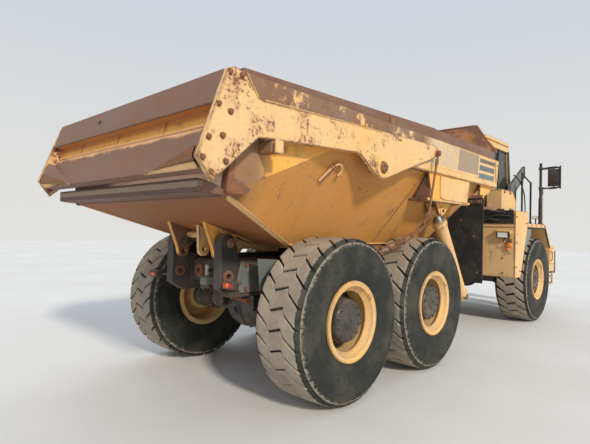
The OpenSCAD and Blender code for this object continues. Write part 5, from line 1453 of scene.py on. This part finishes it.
def make_cab_trim():
    """Window frames and bars, panel seams, wiper, door handle and the lid of the box beside the cab."""
    form = Form(ahead)
    pale, black, light, steel = range(4)
    back, half = -1.15, 0.8
    sill, head = 2.556, 3.31

    def surround(points, out, finish=black, width=0.03):
        """A window's black frame, which stands just proud of the wall."""
        out = Vector(out)
        centre = sum(points, Vector()) / len(points)
        for p, q in zip(points, points[1:] + points[:1]):
            inner_p, inner_q = p + (centre - p).normalized() * -width, q + (centre - q).normalized() * -width
            form.prism([p, q, inner_q, inner_p], out * 0.01, finish)

    window = [(-0.97, sill), (-0.97, head), (0.1, head), (0.22, sill)]
    surround([ahead(x, -half - 0.0005, z) for x, z in window], (0, -1, 0))
    surround([ahead(back - 0.0005, y, z) for y, z in ((-0.62, 2.496), (-0.62, head), (0.62, head),
        (0.62, 2.496))], (-1, 0, 0))
    surround([ahead(x, half + 0.0005, z) for x, z in ((-0.834, sill), (-0.834, head - 0.03),
        (-0.066, head - 0.03), (-0.066, sill))], (0, 1, 0), black, 0.024)
    # dark posts behind and beside the side window, as the photograph shows
    form.slab("y", -half - 0.001, rect(-1.1555, 2.47, -0.99, 3.4), -0.006, black)
    form.slab("x", back - 0.0005, rect(-half - 0.006, 2.47, -0.63, 3.4), -0.005, black)
    form.slab("y", -half - 0.001, [(0.245, 2.56), (0.335, 2.56), (0.205, 3.36), (0.13, 3.34)], -0.006, black)
    # a strip that splits the side window, and the rear window's bars
    form.box((-0.4, -half - 0.004, sill), (-0.372, -half + 0.022, head), black)
    for z in (2.7, 2.86, 3.02, 3.18):
        form.rod((back - 0.022, -0.6, z), (back - 0.022, 0.6, z), 0.008, 10, black)
    for y in (-0.6, 0.0, 0.6):
        form.rod((back - 0.022, y, 2.54), (back - 0.022, y, 3.29), 0.01, 10, black)
    # panel seams and bolts below the side window
    for s in SIDES:
        for z in (2.47, 2.1):
            if s < 0:
                form.slab("y", s * (half + 0.0006), rect(-1.148, z, 0.346, z + 0.01), s * 0.003, black)
        for x in (-1.1, -0.75, -0.4, -0.05, 0.28):
            form.bolt((x, s * half, 1.95), (0, s, 0), 0.022, steel)
    # windscreen wiper and its pivot
    foot = ahead(0.352, -0.2, 2.52)
    form.lathe(foot, (1, 0, 0), disc(0.028, 0.016, 0.016, 0.024), 20, black)
    form.hose([foot + Vector((0.018, 0, 0)), (0.345, -0.1, 2.72), (0.3, 0.12, 2.95)], 0.007, 8, black)
    form.prism([(0.335, -0.02, 2.75), (0.343, -0.01, 2.75), (0.255, 0.24, 3.16), (0.247, 0.23, 3.16)],
        (0.012, 0, 0), black)
    # lid and latches of the box beside the cab
    form.slab("z", 2.455, [(-1.158, -1.128), (-1.158, -0.852), (-0.552, -0.852), (-0.552, -1.128)], 0.012,
        pale)
    for x in (-1.0, -0.7):
        form.box((x - 0.02, -1.131, 2.4), (x + 0.02, -1.1205, 2.47), steel)
        form.bolt((x, -1.131, 2.42), (0, -1, 0), 0.02, steel)
    # intake pipe and hoses behind the air box
    form.hose([(-1.05, -0.93, 2.06), (-1.22, -0.9, 2.1), (-1.3, -0.7, 2.08), (-1.34, -0.45, 1.98),
        (-1.3, -0.3, 1.75)], 0.058, 18, steel, 8)
    for k in range(4):
        form.hose([(-1.18, -0.86 + 0.1 * k, 1.8), (-1.26, -0.88 + 0.11 * k, 1.96),
            (-1.2, -0.8 + 0.1 * k, 2.04 + 0.02 * k), (-1.16, -0.7 + 0.09 * k, 1.93)], 0.017, 10,
            black if k % 2 else light, 7)
    form.make("cab-trim", "front_frame", ["pale paint", "trim black", "light paint", "bare steel",
        "amber lens", "lamp glass"], soften=0.0015, angle=35, slot="faded_paint")

    door = Form(ahead)
    door.lathe((-0.12, 0.8005, 2.42), (0, 1, 0), disc(0.034, 0.006, 0.022, 0.01), 20, 1)
    door.hose(door.flat("z", 2.45, [(-0.2, 0.805), (-0.2, 0.845), (-0.06, 0.845), (-0.06, 0.805)]), 0.009,
        10, 1)
    door.slab("y", 0.8005, rect(-0.9, 2.49, 0.0, 2.502), 0.004, 0)
    for x, z in ((-0.86, 2.12), (-0.86, 3.3), (-0.04, 3.3), (-0.04, 2.12)):
        door.bolt((x, 0.8, z), (0, 1, 0), 0.018, 1)
    door.make("door-trim", "cab_door", ["pale paint", "trim black"], angle=35, slot="faded_paint")


def make_seat_trim():
    """Cushions, arm rests, a lever, pedals, dials and the steering wheel's boss inside the cab."""
    seat = Form(ahead)
    z = 1.9 + 0.0602
    cloth, black, steel = 0, 1, 2

    def cushion(low, high, crown, turn=None, channels=4):
        """A crowned pad with sewn channels, fullest in the middle."""
        low, high = Vector(low), Vector(high)
        span = high - low
        count = 20
        grid = {}
        verts, faces = [], []
        centre = (low + high) / 2
        for layer in (1, -1):
            for i in range(count + 1):
                for j in range(count + 1):
                    u, v = i / count * 2 - 1, j / count * 2 - 1
                    swell = max(0.0, (1 - u ** 6) * (1 - v ** 6)) ** 0.35
                    groove = 0.01 * max(0.0,
                        1 - abs(((v * channels / 2) % 1) - 0.5) * 9) if layer > 0 else 0.0
                    w = swell * (1 + crown * (1 - u * u) * (1 - v * v)) if layer > 0 else swell
                    p = Vector((u * span.x / 2 * (0.97 + 0.03 * swell),
                        v * span.y / 2 * (0.97 + 0.03 * swell), layer * span.z / 2 * w - groove * swell))
                    grid[(layer, i, j)] = len(verts)
                    verts.append(centre + (turn @ p if turn is not None else p))
        for layer in (1, -1):
            for i in range(count):
                for j in range(count):
                    face = (grid[(layer, i, j)], grid[(layer, i + 1, j)], grid[(layer, i + 1, j + 1)],
                        grid[(layer, i, j + 1)])
                    faces.append(face if layer > 0 else face[::-1])
        seat.add(verts, faces, cloth)

    lean = Matrix.Rotation(radians(-81), 3, "Y")
    cushion(ahead(-0.72, -0.26, z + 0.3), ahead(-0.17, 0.26, z + 0.44), 0.25)
    cushion(ahead(-1.035, -0.24, z + 0.645), ahead(-0.385, 0.24, z + 0.755), 0.35, lean)
    for s in SIDES:
        seat.pad((-0.66, -0.3), (s * 0.285, 0.03), (z + 0.5, z + 0.55), black)
        seat.rod((-0.62, s * 0.285, z + 0.36), (-0.62, s * 0.285, z + 0.51), 0.014, 12, steel)
    seat.rod((-0.05, -0.42, z + 0.46), (-0.11, -0.42, z + 0.7), 0.012, 12, steel)
    seat.lathe((-0.115, -0.42, z + 0.7), (-0.24, 0, 1), [(TIP, -0.02), (0.022, -0.012), (0.028, 0.012),
        (0.02, 0.034), (TIP, 0.04)], 20, black)
    for y in (-0.16, 0.1, 0.22):
        seat.prism([(0.02, y - 0.045, z + 0.03), (0.02, y + 0.045, z + 0.03), (0.045, y + 0.045, z + 0.18),
            (0.045, y - 0.045, z + 0.18)], (0.012, 0, 0), black)
    for k in range(3):
        seat.lathe((0.115, -0.16 + 0.16 * k, z + 0.595), (-0.814, 0, 0.58),
            [(0.06, 0.0), (0.06, 0.014), (0.052, 0.016), (0.05, 0.008), (TIP, 0.008)], 28, steel)
    seat.lathe((-0.04, 0, z + 0.7), (-0.515, 0, 0.857), [(0.05, -0.01), (0.058, 0.0), (0.052, 0.022),
        (TIP, 0.026)], 28, black)
    seat.make("seat-cushions", "front_frame", ["seat cloth", "trim black", "bare steel"], angle=60,
        slot="interior")


def make_side_trim():
    """Bolts, caps, treads, hoses and lamps of the boxes and fenders, and the folded screen."""
    form = Form(ahead)
    pale, black, light, steel, lens, amber, rust, grey = range(8)
    for s in SIDES:
        # rear box: seam, bolts, lid bar, hooded lamp and its glass
        form.slab("x", -1.4505, rect(s * 0.875, 1.775, s * 1.425, 1.785), -0.003, black)
        for y, z in ((1.256, 1.25), (1.256, 0.99), (0.9, 1.0), (0.9, 1.68)):
            form.bolt((-1.45, s * y, z), (-1, 0, 0), 0.024, rust)
        form.slab("x", -1.4505, rect(s * 0.865, 0.922, s * 1.428, 0.945), -0.01, pale)
        for p, q in (((1.155, 1.59), (1.155, 1.712)), ((1.385, 1.59), (1.385, 1.712))):
            form.slab("y", s * p[0], [(-1.452, 1.66), (-1.452, 1.715), (-1.53, 1.7), (-1.53, 1.66)],
                s * 0.006, pale)
        form.pad((-1.5165, -1.5105), (s * 1.27, 0.085), (1.602, 1.69), lens)
        form.slab("x", -1.5105, rect(s * 1.27 - 0.098, 1.592, s * 1.27 + 0.098, 1.6015), -0.012, black)
        for y in (-0.0955, 0.0885):
            form.box((-1.5225, s * 1.27 + y, 1.594), (-1.5105, s * 1.27 + y + 0.007, 1.697), black)
        # orange marker lamp on its bent bracket, with the cable
        form.slab("x", -1.4515, [(s * 1.3, 1.5), (s * 1.4, 1.5), (s * 1.4, 1.575), (s * 1.33, 1.575)],
            -0.006, steel)
        form.lathe((-1.455, s * 1.36, 1.475), (-1, 0, -0.25),
            [(0.042, -0.004), (0.046, 0.0), (0.046, 0.024), (0.036, 0.04), (TIP, 0.046)], 28, amber)
        form.lathe((-1.455, s * 1.33, 1.405), (-1, 0, 0.1), [(0.026, -0.004), (0.03, 0.0), (0.03, 0.016),
            (0.02, 0.026), (TIP, 0.028)], 24, amber)
        form.hose([(-1.456, s * 1.29, 1.585), (-1.5, s * 1.27, 1.54), (-1.5, s * 1.3, 1.49),
            (-1.47, s * 1.325, 1.5)], 0.007, 8, black)
        form.hose([(-1.456, s * 1.34, 1.38), (-1.48, s * 1.335, 1.34), (-1.456, s * 1.38, 1.33)], 0.006, 8,
            black)
        # the side plate's hole rim, bolts and weld, caps on the post and the deck
        form.lathe((-1.34, s * 1.4605, 1.66), (0, s, 0), [(0.026, -0.001), (0.026, 0.003), (0.014, 0.004),
            (0.013, -0.001)], 20, pale)
        for x, z in ((-1.41, 1.96), (-1.41, 1.52), (-1.41, 1.1), (-1.2, 1.02), (-0.86, 1.86)):
            form.bolt((x, s * 1.46, z), (0, s, 0), 0.024, rust)
        form.weld((-1.452, s * 1.459, 0.925), (-1.452, s * 1.459, 2.055), 0.005, pale, 111)
        form.pad((-1.42, -1.3), (s * 1.37, 0.05), (2.0605, 2.074), light)
        form.lathe((-1.36, s * 1.37, 2.074), (0, 0, 1), [(0.04, 0), (0.044, 0.004), (0.044, 0.026),
            (0.03, 0.036), (TIP, 0.038)], 28, light)
        form.lathe((-1.36, s * 1.18, 2.0602), (0, 0, 1), [(0.075, 0), (0.075, 0.01), (0.062, 0.016),
            (0.062, 0.034), (0.05, 0.042), (TIP, 0.042)], 32, black)
        # dark sheet and lagging that close the gap over the box
        form.pad((-1.462, -1.4505), (s * 1.15, 0.278), (1.842, 2.07), black)
        form.pad((-1.45, -0.8), (s * 1.145, 0.27), (2.0605, 2.068), black)
        for y0, y1, z in ((0.9, 1.18, 1.9), (1.02, 1.4, 1.97), (0.93, 1.3, 2.03), (0.88, 1.1, 2.06)):
            form.hose([(-1.47, s * y0, z - 0.03), (-1.478, s * (y0 * 0.6 + y1 * 0.4), z + 0.025),
                (-1.474, s * y1, z - 0.01)], 0.016, 10, black, 8)
        # anti-slip strips on the decks
        for k in range(5):
            form.pad((-1.4 + 0.13 * k, -1.34 + 0.13 * k), (s * 1.05, 0.12), (2.0685, 2.075), black)
        for k in range(7):
            form.pad((-0.3 + 0.1 * k, -0.26 + 0.1 * k), (s * 1.3, 0.11), (1.8601, 1.8665), black)
        # grey liner behind the wheel arch
        form.slab("y", s * 1.424, ((-0.82, 1.826), (-0.42, 1.826), (-0.46, 1.66), (-0.62, 1.52),
            (-0.8, 1.38)), s * 0.006, grey)
        # rubber edge of the arch and its bolts
        form.slab("y", s * 1.4605, rect(-0.78, 1.79, 0.3, 1.86), s * 0.008, pale)
        form.hose(form.flat("y", s * 1.448, [(-0.8, 1.782), (0.34, 1.782), (0.42, 1.755), (0.742, 1.398)]),
            0.013, 10, black)
        for x in (-0.6, -0.3, 0.0, 0.25):
            form.bolt((x, s * 1.468, 1.825), (0, s, 0), 0.02, rust)
        # step box: cover plate, handle, cap, treads, strips and a strut
        form.slab("y", s * 1.4005, rect(0.93, 1.05, 1.28, 1.38), s * 0.008, pale)
        form.hose(form.flat("x", 1.0, [(s * 1.41, 1.12), (s * 1.44, 1.14), (s * 1.44, 1.3),
            (s * 1.41, 1.32)]), 0.008, 8, steel)
        form.lathe((1.1, s * 1.22, 1.43), (0, 0, 1), [(0.05, 0), (0.056, 0.008), (0.056, 0.034),
            (0.036, 0.046), (TIP, 0.048)], 28, pale)
        for z in (0.65, 0.79):
            for k in range(8):
                form.pad((0.965 + 0.038 * k, 0.98 + 0.038 * k), (s * 1.245, 0.14), (z, z + 0.007), black)
        for x in (0.94, 1.25):
            form.pad((x, x + 0.04), (s * 1.375, 0.018), (0.9 - 0.01, 1.02), black)
        form.rod((0.735, s * 0.9, 1.405), (0.93, s * 1.065, 1.32), 0.016, 12, black)
    # folded screen on the right: frame bars, mesh slats and bent rod
    edge = [(0.01, 1.875), (0.01, 2.65), (0.87, 3.12), (0.95, 3.12), (0.95, 2.9), (0.38, 2.56), (0.38, 1.875)]
    for p, q in zip(edge, edge[1:]):
        form.rod((p[0], -0.893, p[1]), (q[0], -0.893, q[1]), 0.01, 10, black)
    for k in range(10):
        z = 1.98 + 0.06 * k
        form.box((0.03, -0.8895, z), (0.36, -0.8855, z + 0.012), steel)
    form.hose([(0.55, -1.02, 1.8605), (0.56, -1.03, 2.2), (0.5, -1.02, 2.55), (0.3, -0.98, 2.78),
        (0.12, -0.93, 2.86)], 0.012, 10, black, 10)
    # mat beside the box
    form.slab("z", 1.842, [(-1.3, -0.84), (-1.3, -0.52), (-0.95, -0.52), (-0.95, -0.84)], 0.018, black)
    form.make("side-trim", "front_frame", ["pale paint", "trim black", "light paint", "bare steel",
        "lamp glass", "amber lens", "rusty steel", "grey paint"], soften=0.0015, angle=35, slot="faded_paint")


def make_front_trim():
    """Latches, slats and seams of the hood, lamps, rails and treads of the bumper, and the radiator."""
    hood = Form(ahead)
    black, steel, lens, amber = range(1, 5)
    for s in SIDES:
        # wide slats that let the engine's heat out
        for k in range(5):
            z = 1.49 + 0.044 * k
            hood.prism([(1.0, s * 0.7805, z), (1.46, s * 0.7805, z), (1.46, s * 0.792, z + 0.008),
                (1.0, s * 0.792, z + 0.008)], (0, 0, 0.018), black)
        hood.pad((0.6, 0.68), (s * 0.789, 0.009), (1.5, 1.56), black)
        hood.pad((1.75, 1.83), (s * 0.789, 0.009), (1.42, 1.48), black)
        hood.weld((0.8, s * 0.7812, 1.485), (0.8, s * 0.7812, 1.765), 0.003, black, 121)
    hood.prism([(0.75, -0.3, 2.2335), (0.75, 0.3, 2.2335), (0.84, 0.3, 2.23), (0.84, -0.3, 2.23)],
        (0, 0, 0.012), black)
    hood.make("hood-trim", "hood", ["pale paint", "trim black", "bare steel", "lamp glass", "amber lens",
        "light paint"], soften=0.001, angle=35, slot="faded_paint")

    nose = Form(ahead)
    front = 2.25
    for s in SIDES:
        for k in (0, 1):
            y = s * (0.565 + 0.13 * k)
            nose.lathe((front - 0.006, y, 1.035), (1, 0, 0), [(0.056, 0.0), (0.058, 0.004), (0.052, 0.0045),
                (0.05, 0.0015), (TIP, 0.0038)], 36, lens)
        nose.pad((front - 0.0115, front - 0.0005), (s * 0.63, 0.128), (0.952, 0.964), black)
        nose.pad((front - 0.06, front - 0.031), (s * 0.87, 0.05), (0.975, 1.095), amber)
        nose.hose(nose.flat("x", front - 0.2, [(s * 1.02, 1.301), (s * 1.02, 1.37), (s * 0.7, 1.37),
            (s * 0.7, 1.301)]), 0.016, 12, black)
        for y in (0.45, 0.8, 1.0):
            nose.bolt((front - 0.03 if y < 0.9 else front - 0.096, s * y, 0.86), (1, 0, 0), 0.03, steel)
        for k in range(6):
            nose.pad((front - 0.16, front - 0.06), (s * (0.35 + 0.1 * k), 0.03), (1.3003, 1.306), black)
        for x in (-0.05, 0.1, 0.6):
            nose.bolt((x, s * 0.4752, 1.07), (0, s, 0), 0.032, steel)
    # radiator with its fins
    nose.box((1.5, -0.36, 1.181), (1.62, 0.36, 1.86), black)
    for k in range(18):
        nose.box((1.62, -0.345, 1.21 + 0.035 * k), (1.632, 0.345, 1.222 + 0.035 * k), steel)
    nose.make("nose-trim", "front_frame", ["pale paint", "trim black", "bare steel", "lamp glass",
        "amber lens", "light paint"], soften=0.001, angle=35, slot="chassis_paint")


def make_mirror_trim():
    """Mirror glass, tube loops, clamps, rail feet and the little lamp beside the mast."""
    form = Form(ahead)
    black, glass, steel, light, lens = range(5)
    y = 1.42
    for s in SIDES:
        # rounded glass that faces rearwards, in a raised rim
        mid, z0 = s * (y + 0.225), 2.765
        loop = [(0.082 * copysign(abs(cos(t)) ** 0.55, cos(t)),
            0.15 * copysign(abs(sin(t)) ** 0.55, sin(t))) for t in turns(40)]
        form.slab("x", 0.1275, [(mid + a, z0 + b) for a, b in loop], -0.004, glass)
        rim = [ahead(0.125, mid + a * 1.05, z0 + b * 1.03) for a, b in loop]
        form.hose(rim + rim[:1], 0.006, 8, black, 1)
        # loop of tube round the mirror
        form.hose(form.flat("x", 0.15, [(s * (y + 0.02), 2.95), (s * (y + 0.2), 2.975),
            (s * (y + 0.328), 2.965), (s * (y + 0.34), 2.76), (s * (y + 0.328), 2.57),
            (s * (y + 0.2), 2.555), (s * (y + 0.02), 2.575)]), 0.013, 10, black, 6)
        for z in (2.565, 2.955, 2.1):
            form.lathe((0.15, s * y, z - 0.03), (0, 0, 1), [(0.0245, 0), (0.036, 0.004), (0.036, 0.056),
                (0.0245, 0.06)], 24, black)
            form.bolt((0.114, s * y, z), (-1, 0, 0), 0.018, steel)
        # wider sleeve on the lower mast, lighter post beside it
        form.lathe((0.15, s * y, 1.8605), (0, 0, 1), [(0.06, 0), (0.06, 0.012), (0.034, 0.018),
            (0.034, 0.5), (0.03, 0.52), (0.0245, 0.522)], 28, black)
        form.rod((0.22, s * (y + 0.015), 1.8605), (0.22, s * (y + 0.015), 2.54), 0.02, 16, light, 0.004)
        for z in (2.0, 2.48):
            form.pad((0.15, 0.235), (s * (y + 0.008), 0.02), (z - 0.018, z + 0.018), steel)
        form.bolt_ring((0.15, s * y, 1.8725), (0, 0, 1), 0.047, 4, 0.014, steel, 0.6)
        # small lamp on a stalk behind the mast
        form.rod((-0.04, s * 1.39, 1.8605), (-0.04, s * 1.39, 1.97), 0.012, 12, black)
        form.pad((-0.085, 0.0), (s * 1.39, 0.055), (1.965, 2.02), black)
        form.pad((-0.0905, -0.0855), (s * 1.39, 0.045), (1.972, 2.013), lens)
        for x in ((0.13, 0.34) if s > 0 else (-0.25, 0.3)):
            form.lathe((x, s * 1.2, 1.8605), (0, 0, 1), [(0.048, 0), (0.048, 0.01), (0.026, 0.014),
                (0.026, 0.05), (0.0185, 0.052)], 24, black)
            form.bolt_ring((x, s * 1.2, 1.8705), (0, 0, 1), 0.037, 4, 0.011, steel, 0.8)
    form.make("mirror-trim", "front_frame", ["trim black", "mirror glass", "bare steel", "light paint",
        "lamp glass"], soften=0.001, angle=35, slot="chassis_paint")


# Stage


def make_stage():
    """The floor, the light and the camera at the photograph's angle."""
    bpy.ops.mesh.primitive_plane_add(size=90, location=(0, 0, 0))
    floor = bpy.context.object
    floor.name = "floor"
    made, n, shader = shader_material("pale floor")
    place = n.place()
    drift = n.ramp(n.noise(place, 0.35, 5.0, 0.6), 0.3, 0.7)
    n.put(n.mix(drift, (0.66, 0.645, 0.62), (0.72, 0.71, 0.69)), shader.inputs["Base Color"])
    n.put(n.plus(0.78, n.times(drift, 0.12)), shader.inputs["Roughness"])
    floor.data.materials.append(made)

    world = bpy.data.worlds.new("soft sky")
    world.use_nodes = True
    sky = Nodes(world.node_tree)
    back = world.node_tree.nodes["Background"]
    up = sky.split(sky.new("ShaderNodeTexCoord").outputs["Generated"])[2]
    sky.put(sky.mix(sky.ramp(up, -0.05, 0.7), (0.9, 0.89, 0.86), (0.66, 0.74, 0.84)), back.inputs["Color"])
    back.inputs["Strength"].default_value = 0.85
    bpy.context.scene.world = world

    for name, azimuth, height, strength, spread, tint in (("sun", -111, 30, 2.7, 6, (1.0, 0.93, 0.82)),
            ("fill", 40, 50, 0.5, 60, (0.86, 0.92, 1.0))):
        lamp = bpy.data.lights.new(name, "SUN")
        lamp.energy, lamp.angle, lamp.color = strength, radians(spread), tint
        light = bpy.data.objects.new(name, lamp)
        a, h = radians(azimuth), radians(height)
        light.rotation_euler = Vector((cos(a) * cos(h), sin(a) * cos(h), sin(h))).to_track_quat("Z",
            "Y").to_euler()
        bpy.context.scene.collection.objects.link(light)

    lens = bpy.data.cameras.new("camera")
    lens.sensor_width, lens.lens = 36.0, 27.549
    lens.clip_end = 200
    camera = bpy.data.objects.new("camera", lens)
    forward, right = Vector((0.7310428, 0.6821556, 0.0154938)), Vector((0.6818302, -0.7311877, 0.0217316))
    up = right.cross(forward)
    camera.matrix_world = Matrix.Translation(at(-3.52997, -3.93965, 1.66934)) @ Matrix((right, up,
        -forward)).transposed().to_4x4()
    bpy.context.scene.collection.objects.link(camera)
    bpy.context.scene.camera = camera
    view = bpy.context.scene.view_settings
    view.view_transform, view.look, view.exposure = "Standard", "None", 0.0


# Operators, in the order that main() calls them


class DUMPTRUCK_OT_finishes(bpy.types.Operator):
    """Builds the materials and dresses the CAD nodes with them"""

    bl_idname = "dump_truck.finishes"
    bl_label = "Give Every Node Its Finish"
    bl_options = {"REGISTER", "UNDO"}

    def execute(self, context):
        make_finishes()
        dress_nodes()
        return {"FINISHED"}


class DUMPTRUCK_OT_stage(bpy.types.Operator):
    """Sets the floor, the light and the camera"""

    bl_idname = "dump_truck.stage"
    bl_label = "Stage, Light and Camera"
    bl_options = {"REGISTER", "UNDO"}

    def execute(self, context):
        make_stage()
        return {"FINISHED"}


class DUMPTRUCK_OT_tyres(bpy.types.Operator):
    """Makes the six tyres with their worn tread"""

    bl_idname = "dump_truck.tyres"
    bl_label = "Tyres"
    bl_options = {"REGISTER", "UNDO"}

    def execute(self, context):
        make_tyres()
        return {"FINISHED"}


class DUMPTRUCK_OT_wheel_trim(bpy.types.Operator):
    """Makes the hubs, studs, lock rings and valves"""

    bl_idname = "dump_truck.wheel_trim"
    bl_label = "Wheel Hubs and Lock Rings"
    bl_options = {"REGISTER", "UNDO"}

    def execute(self, context):
        make_wheel_trim()
        return {"FINISHED"}


class DUMPTRUCK_OT_body_trim(bpy.types.Operator):
    """Makes the welds, edge strips, flanges and catches of the tipping body"""

    bl_idname = "dump_truck.body_trim"
    bl_label = "Body Trim"
    bl_options = {"REGISTER", "UNDO"}

    def execute(self, context):
        make_body_trim()
        return {"FINISHED"}


class DUMPTRUCK_OT_hinge_trim(bpy.types.Operator):
    """Makes the ears, pins and gussets under the tail"""

    bl_idname = "dump_truck.hinge_trim"
    bl_label = "Hinge Ears and Gussets"
    bl_options = {"REGISTER", "UNDO"}

    def execute(self, context):
        make_hinge_trim()
        return {"FINISHED"}


class DUMPTRUCK_OT_gate_trim(bpy.types.Operator):
    """Makes the bolts, pins, weld beads and lips of the tailgate"""

    bl_idname = "dump_truck.gate_trim"
    bl_label = "Tailgate Trim"
    bl_options = {"REGISTER", "UNDO"}

    def execute(self, context):
        make_gate_trim()
        return {"FINISHED"}


class DUMPTRUCK_OT_hoist_trim(bpy.types.Operator):
    """Makes the glands, lines and pin keepers of the hoists"""

    bl_idname = "dump_truck.hoist_trim"
    bl_label = "Hoist Trim"
    bl_options = {"REGISTER", "UNDO"}

    def execute(self, context):
        make_hoist_trim()
        return {"FINISHED"}


class DUMPTRUCK_OT_axle_trim(bpy.types.Operator):
    """Makes the axle pads, brake units and links"""

    bl_idname = "dump_truck.axle_trim"
    bl_label = "Axle Trim"
    bl_options = {"REGISTER", "UNDO"}

    def execute(self, context):
        make_axle_trim()
        return {"FINISHED"}


class DUMPTRUCK_OT_frame_trim(bpy.types.Operator):
    """Makes the pipes, valves and bolts of the rear frame"""

    bl_idname = "dump_truck.frame_trim"
    bl_label = "Frame Trim"
    bl_options = {"REGISTER", "UNDO"}

    def execute(self, context):
        make_frame_trim()
        return {"FINISHED"}


class DUMPTRUCK_OT_hitch_trim(bpy.types.Operator):
    """Makes the hoses, collars and bolts of the steering joint"""

    bl_idname = "dump_truck.hitch_trim"
    bl_label = "Hitch Trim"
    bl_options = {"REGISTER", "UNDO"}

    def execute(self, context):
        make_hitch_trim()
        return {"FINISHED"}


class DUMPTRUCK_OT_cab_trim(bpy.types.Operator):
    """Makes the window frames, bars, seams, wiper and door handle of the cab"""

    bl_idname = "dump_truck.cab_trim"
    bl_label = "Cab Trim"
    bl_options = {"REGISTER", "UNDO"}

    def execute(self, context):
        make_cab_trim()
        return {"FINISHED"}


class DUMPTRUCK_OT_seat_trim(bpy.types.Operator):
    """Makes the seat cushions, arm rests, lever, pedals and dials"""

    bl_idname = "dump_truck.seat_trim"
    bl_label = "Seat and Controls"
    bl_options = {"REGISTER", "UNDO"}

    def execute(self, context):
        make_seat_trim()
        return {"FINISHED"}


class DUMPTRUCK_OT_side_trim(bpy.types.Operator):
    """Makes the bolts, caps, treads, hoses and lamps of the boxes and fenders"""

    bl_idname = "dump_truck.side_trim"
    bl_label = "Boxes and Fenders Trim"
    bl_options = {"REGISTER", "UNDO"}

    def execute(self, context):
        make_side_trim()
        return {"FINISHED"}


class DUMPTRUCK_OT_front_trim(bpy.types.Operator):
    """Makes the latches, slats, head lamps and rails of the front"""

    bl_idname = "dump_truck.front_trim"
    bl_label = "Hood and Bumper Trim"
    bl_options = {"REGISTER", "UNDO"}

    def execute(self, context):
        make_front_trim()
        return {"FINISHED"}


class DUMPTRUCK_OT_mirror_trim(bpy.types.Operator):
    """Makes the mirror glass, brackets and rail feet"""

    bl_idname = "dump_truck.mirror_trim"
    bl_label = "Mirrors and Rails"
    bl_options = {"REGISTER", "UNDO"}

    def execute(self, context):
        make_mirror_trim()
        return {"FINISHED"}


PIECES = (
    DUMPTRUCK_OT_finishes,
    DUMPTRUCK_OT_stage,
    DUMPTRUCK_OT_tyres,
    DUMPTRUCK_OT_wheel_trim,
    DUMPTRUCK_OT_body_trim,
    DUMPTRUCK_OT_hinge_trim,
    DUMPTRUCK_OT_gate_trim,
    DUMPTRUCK_OT_hoist_trim,
    DUMPTRUCK_OT_axle_trim,
    DUMPTRUCK_OT_frame_trim,
    DUMPTRUCK_OT_hitch_trim,
    DUMPTRUCK_OT_cab_trim,
    DUMPTRUCK_OT_seat_trim,
    DUMPTRUCK_OT_side_trim,
    DUMPTRUCK_OT_front_trim,
    DUMPTRUCK_OT_mirror_trim,
)


class DUMPTRUCK_PT_panel(bpy.types.Panel):
    """Lists the pieces and the settings"""

    bl_label = "Dump Truck"
    bl_idname = "DUMPTRUCK_PT_panel"
    bl_space_type = "VIEW_3D"
    bl_region_type = "UI"
    bl_category = "Dump Truck"

    def draw(self, context):
        for settings in (context.scene.dump_truck_colours, context.scene.dump_truck_tyres):
            box = self.layout.box()
            for name in settings.__annotations__:
                box.prop(settings, name)
        for piece in PIECES:
            self.layout.operator(piece.bl_idname)


CLASSES = (DumpTruckColours, DumpTruckTyres, *PIECES, DUMPTRUCK_PT_panel)


def register():
    """Adds the settings, the operators and the panel."""
    for each in CLASSES:
        bpy.utils.register_class(each)
    bpy.types.Scene.dump_truck_colours = PointerProperty(type=DumpTruckColours)
    bpy.types.Scene.dump_truck_tyres = PointerProperty(type=DumpTruckTyres)


def unregister():
    """Takes them away again."""
    del bpy.types.Scene.dump_truck_tyres
    del bpy.types.Scene.dump_truck_colours
    for each in reversed(CLASSES):
        bpy.utils.unregister_class(each)


def main():
    """Makes every piece in order."""
    register()
    for piece in PIECES:
        getattr(bpy.ops.dump_truck, piece.bl_idname.split(".")[1])()


if __name__ == "__main__":
    main()
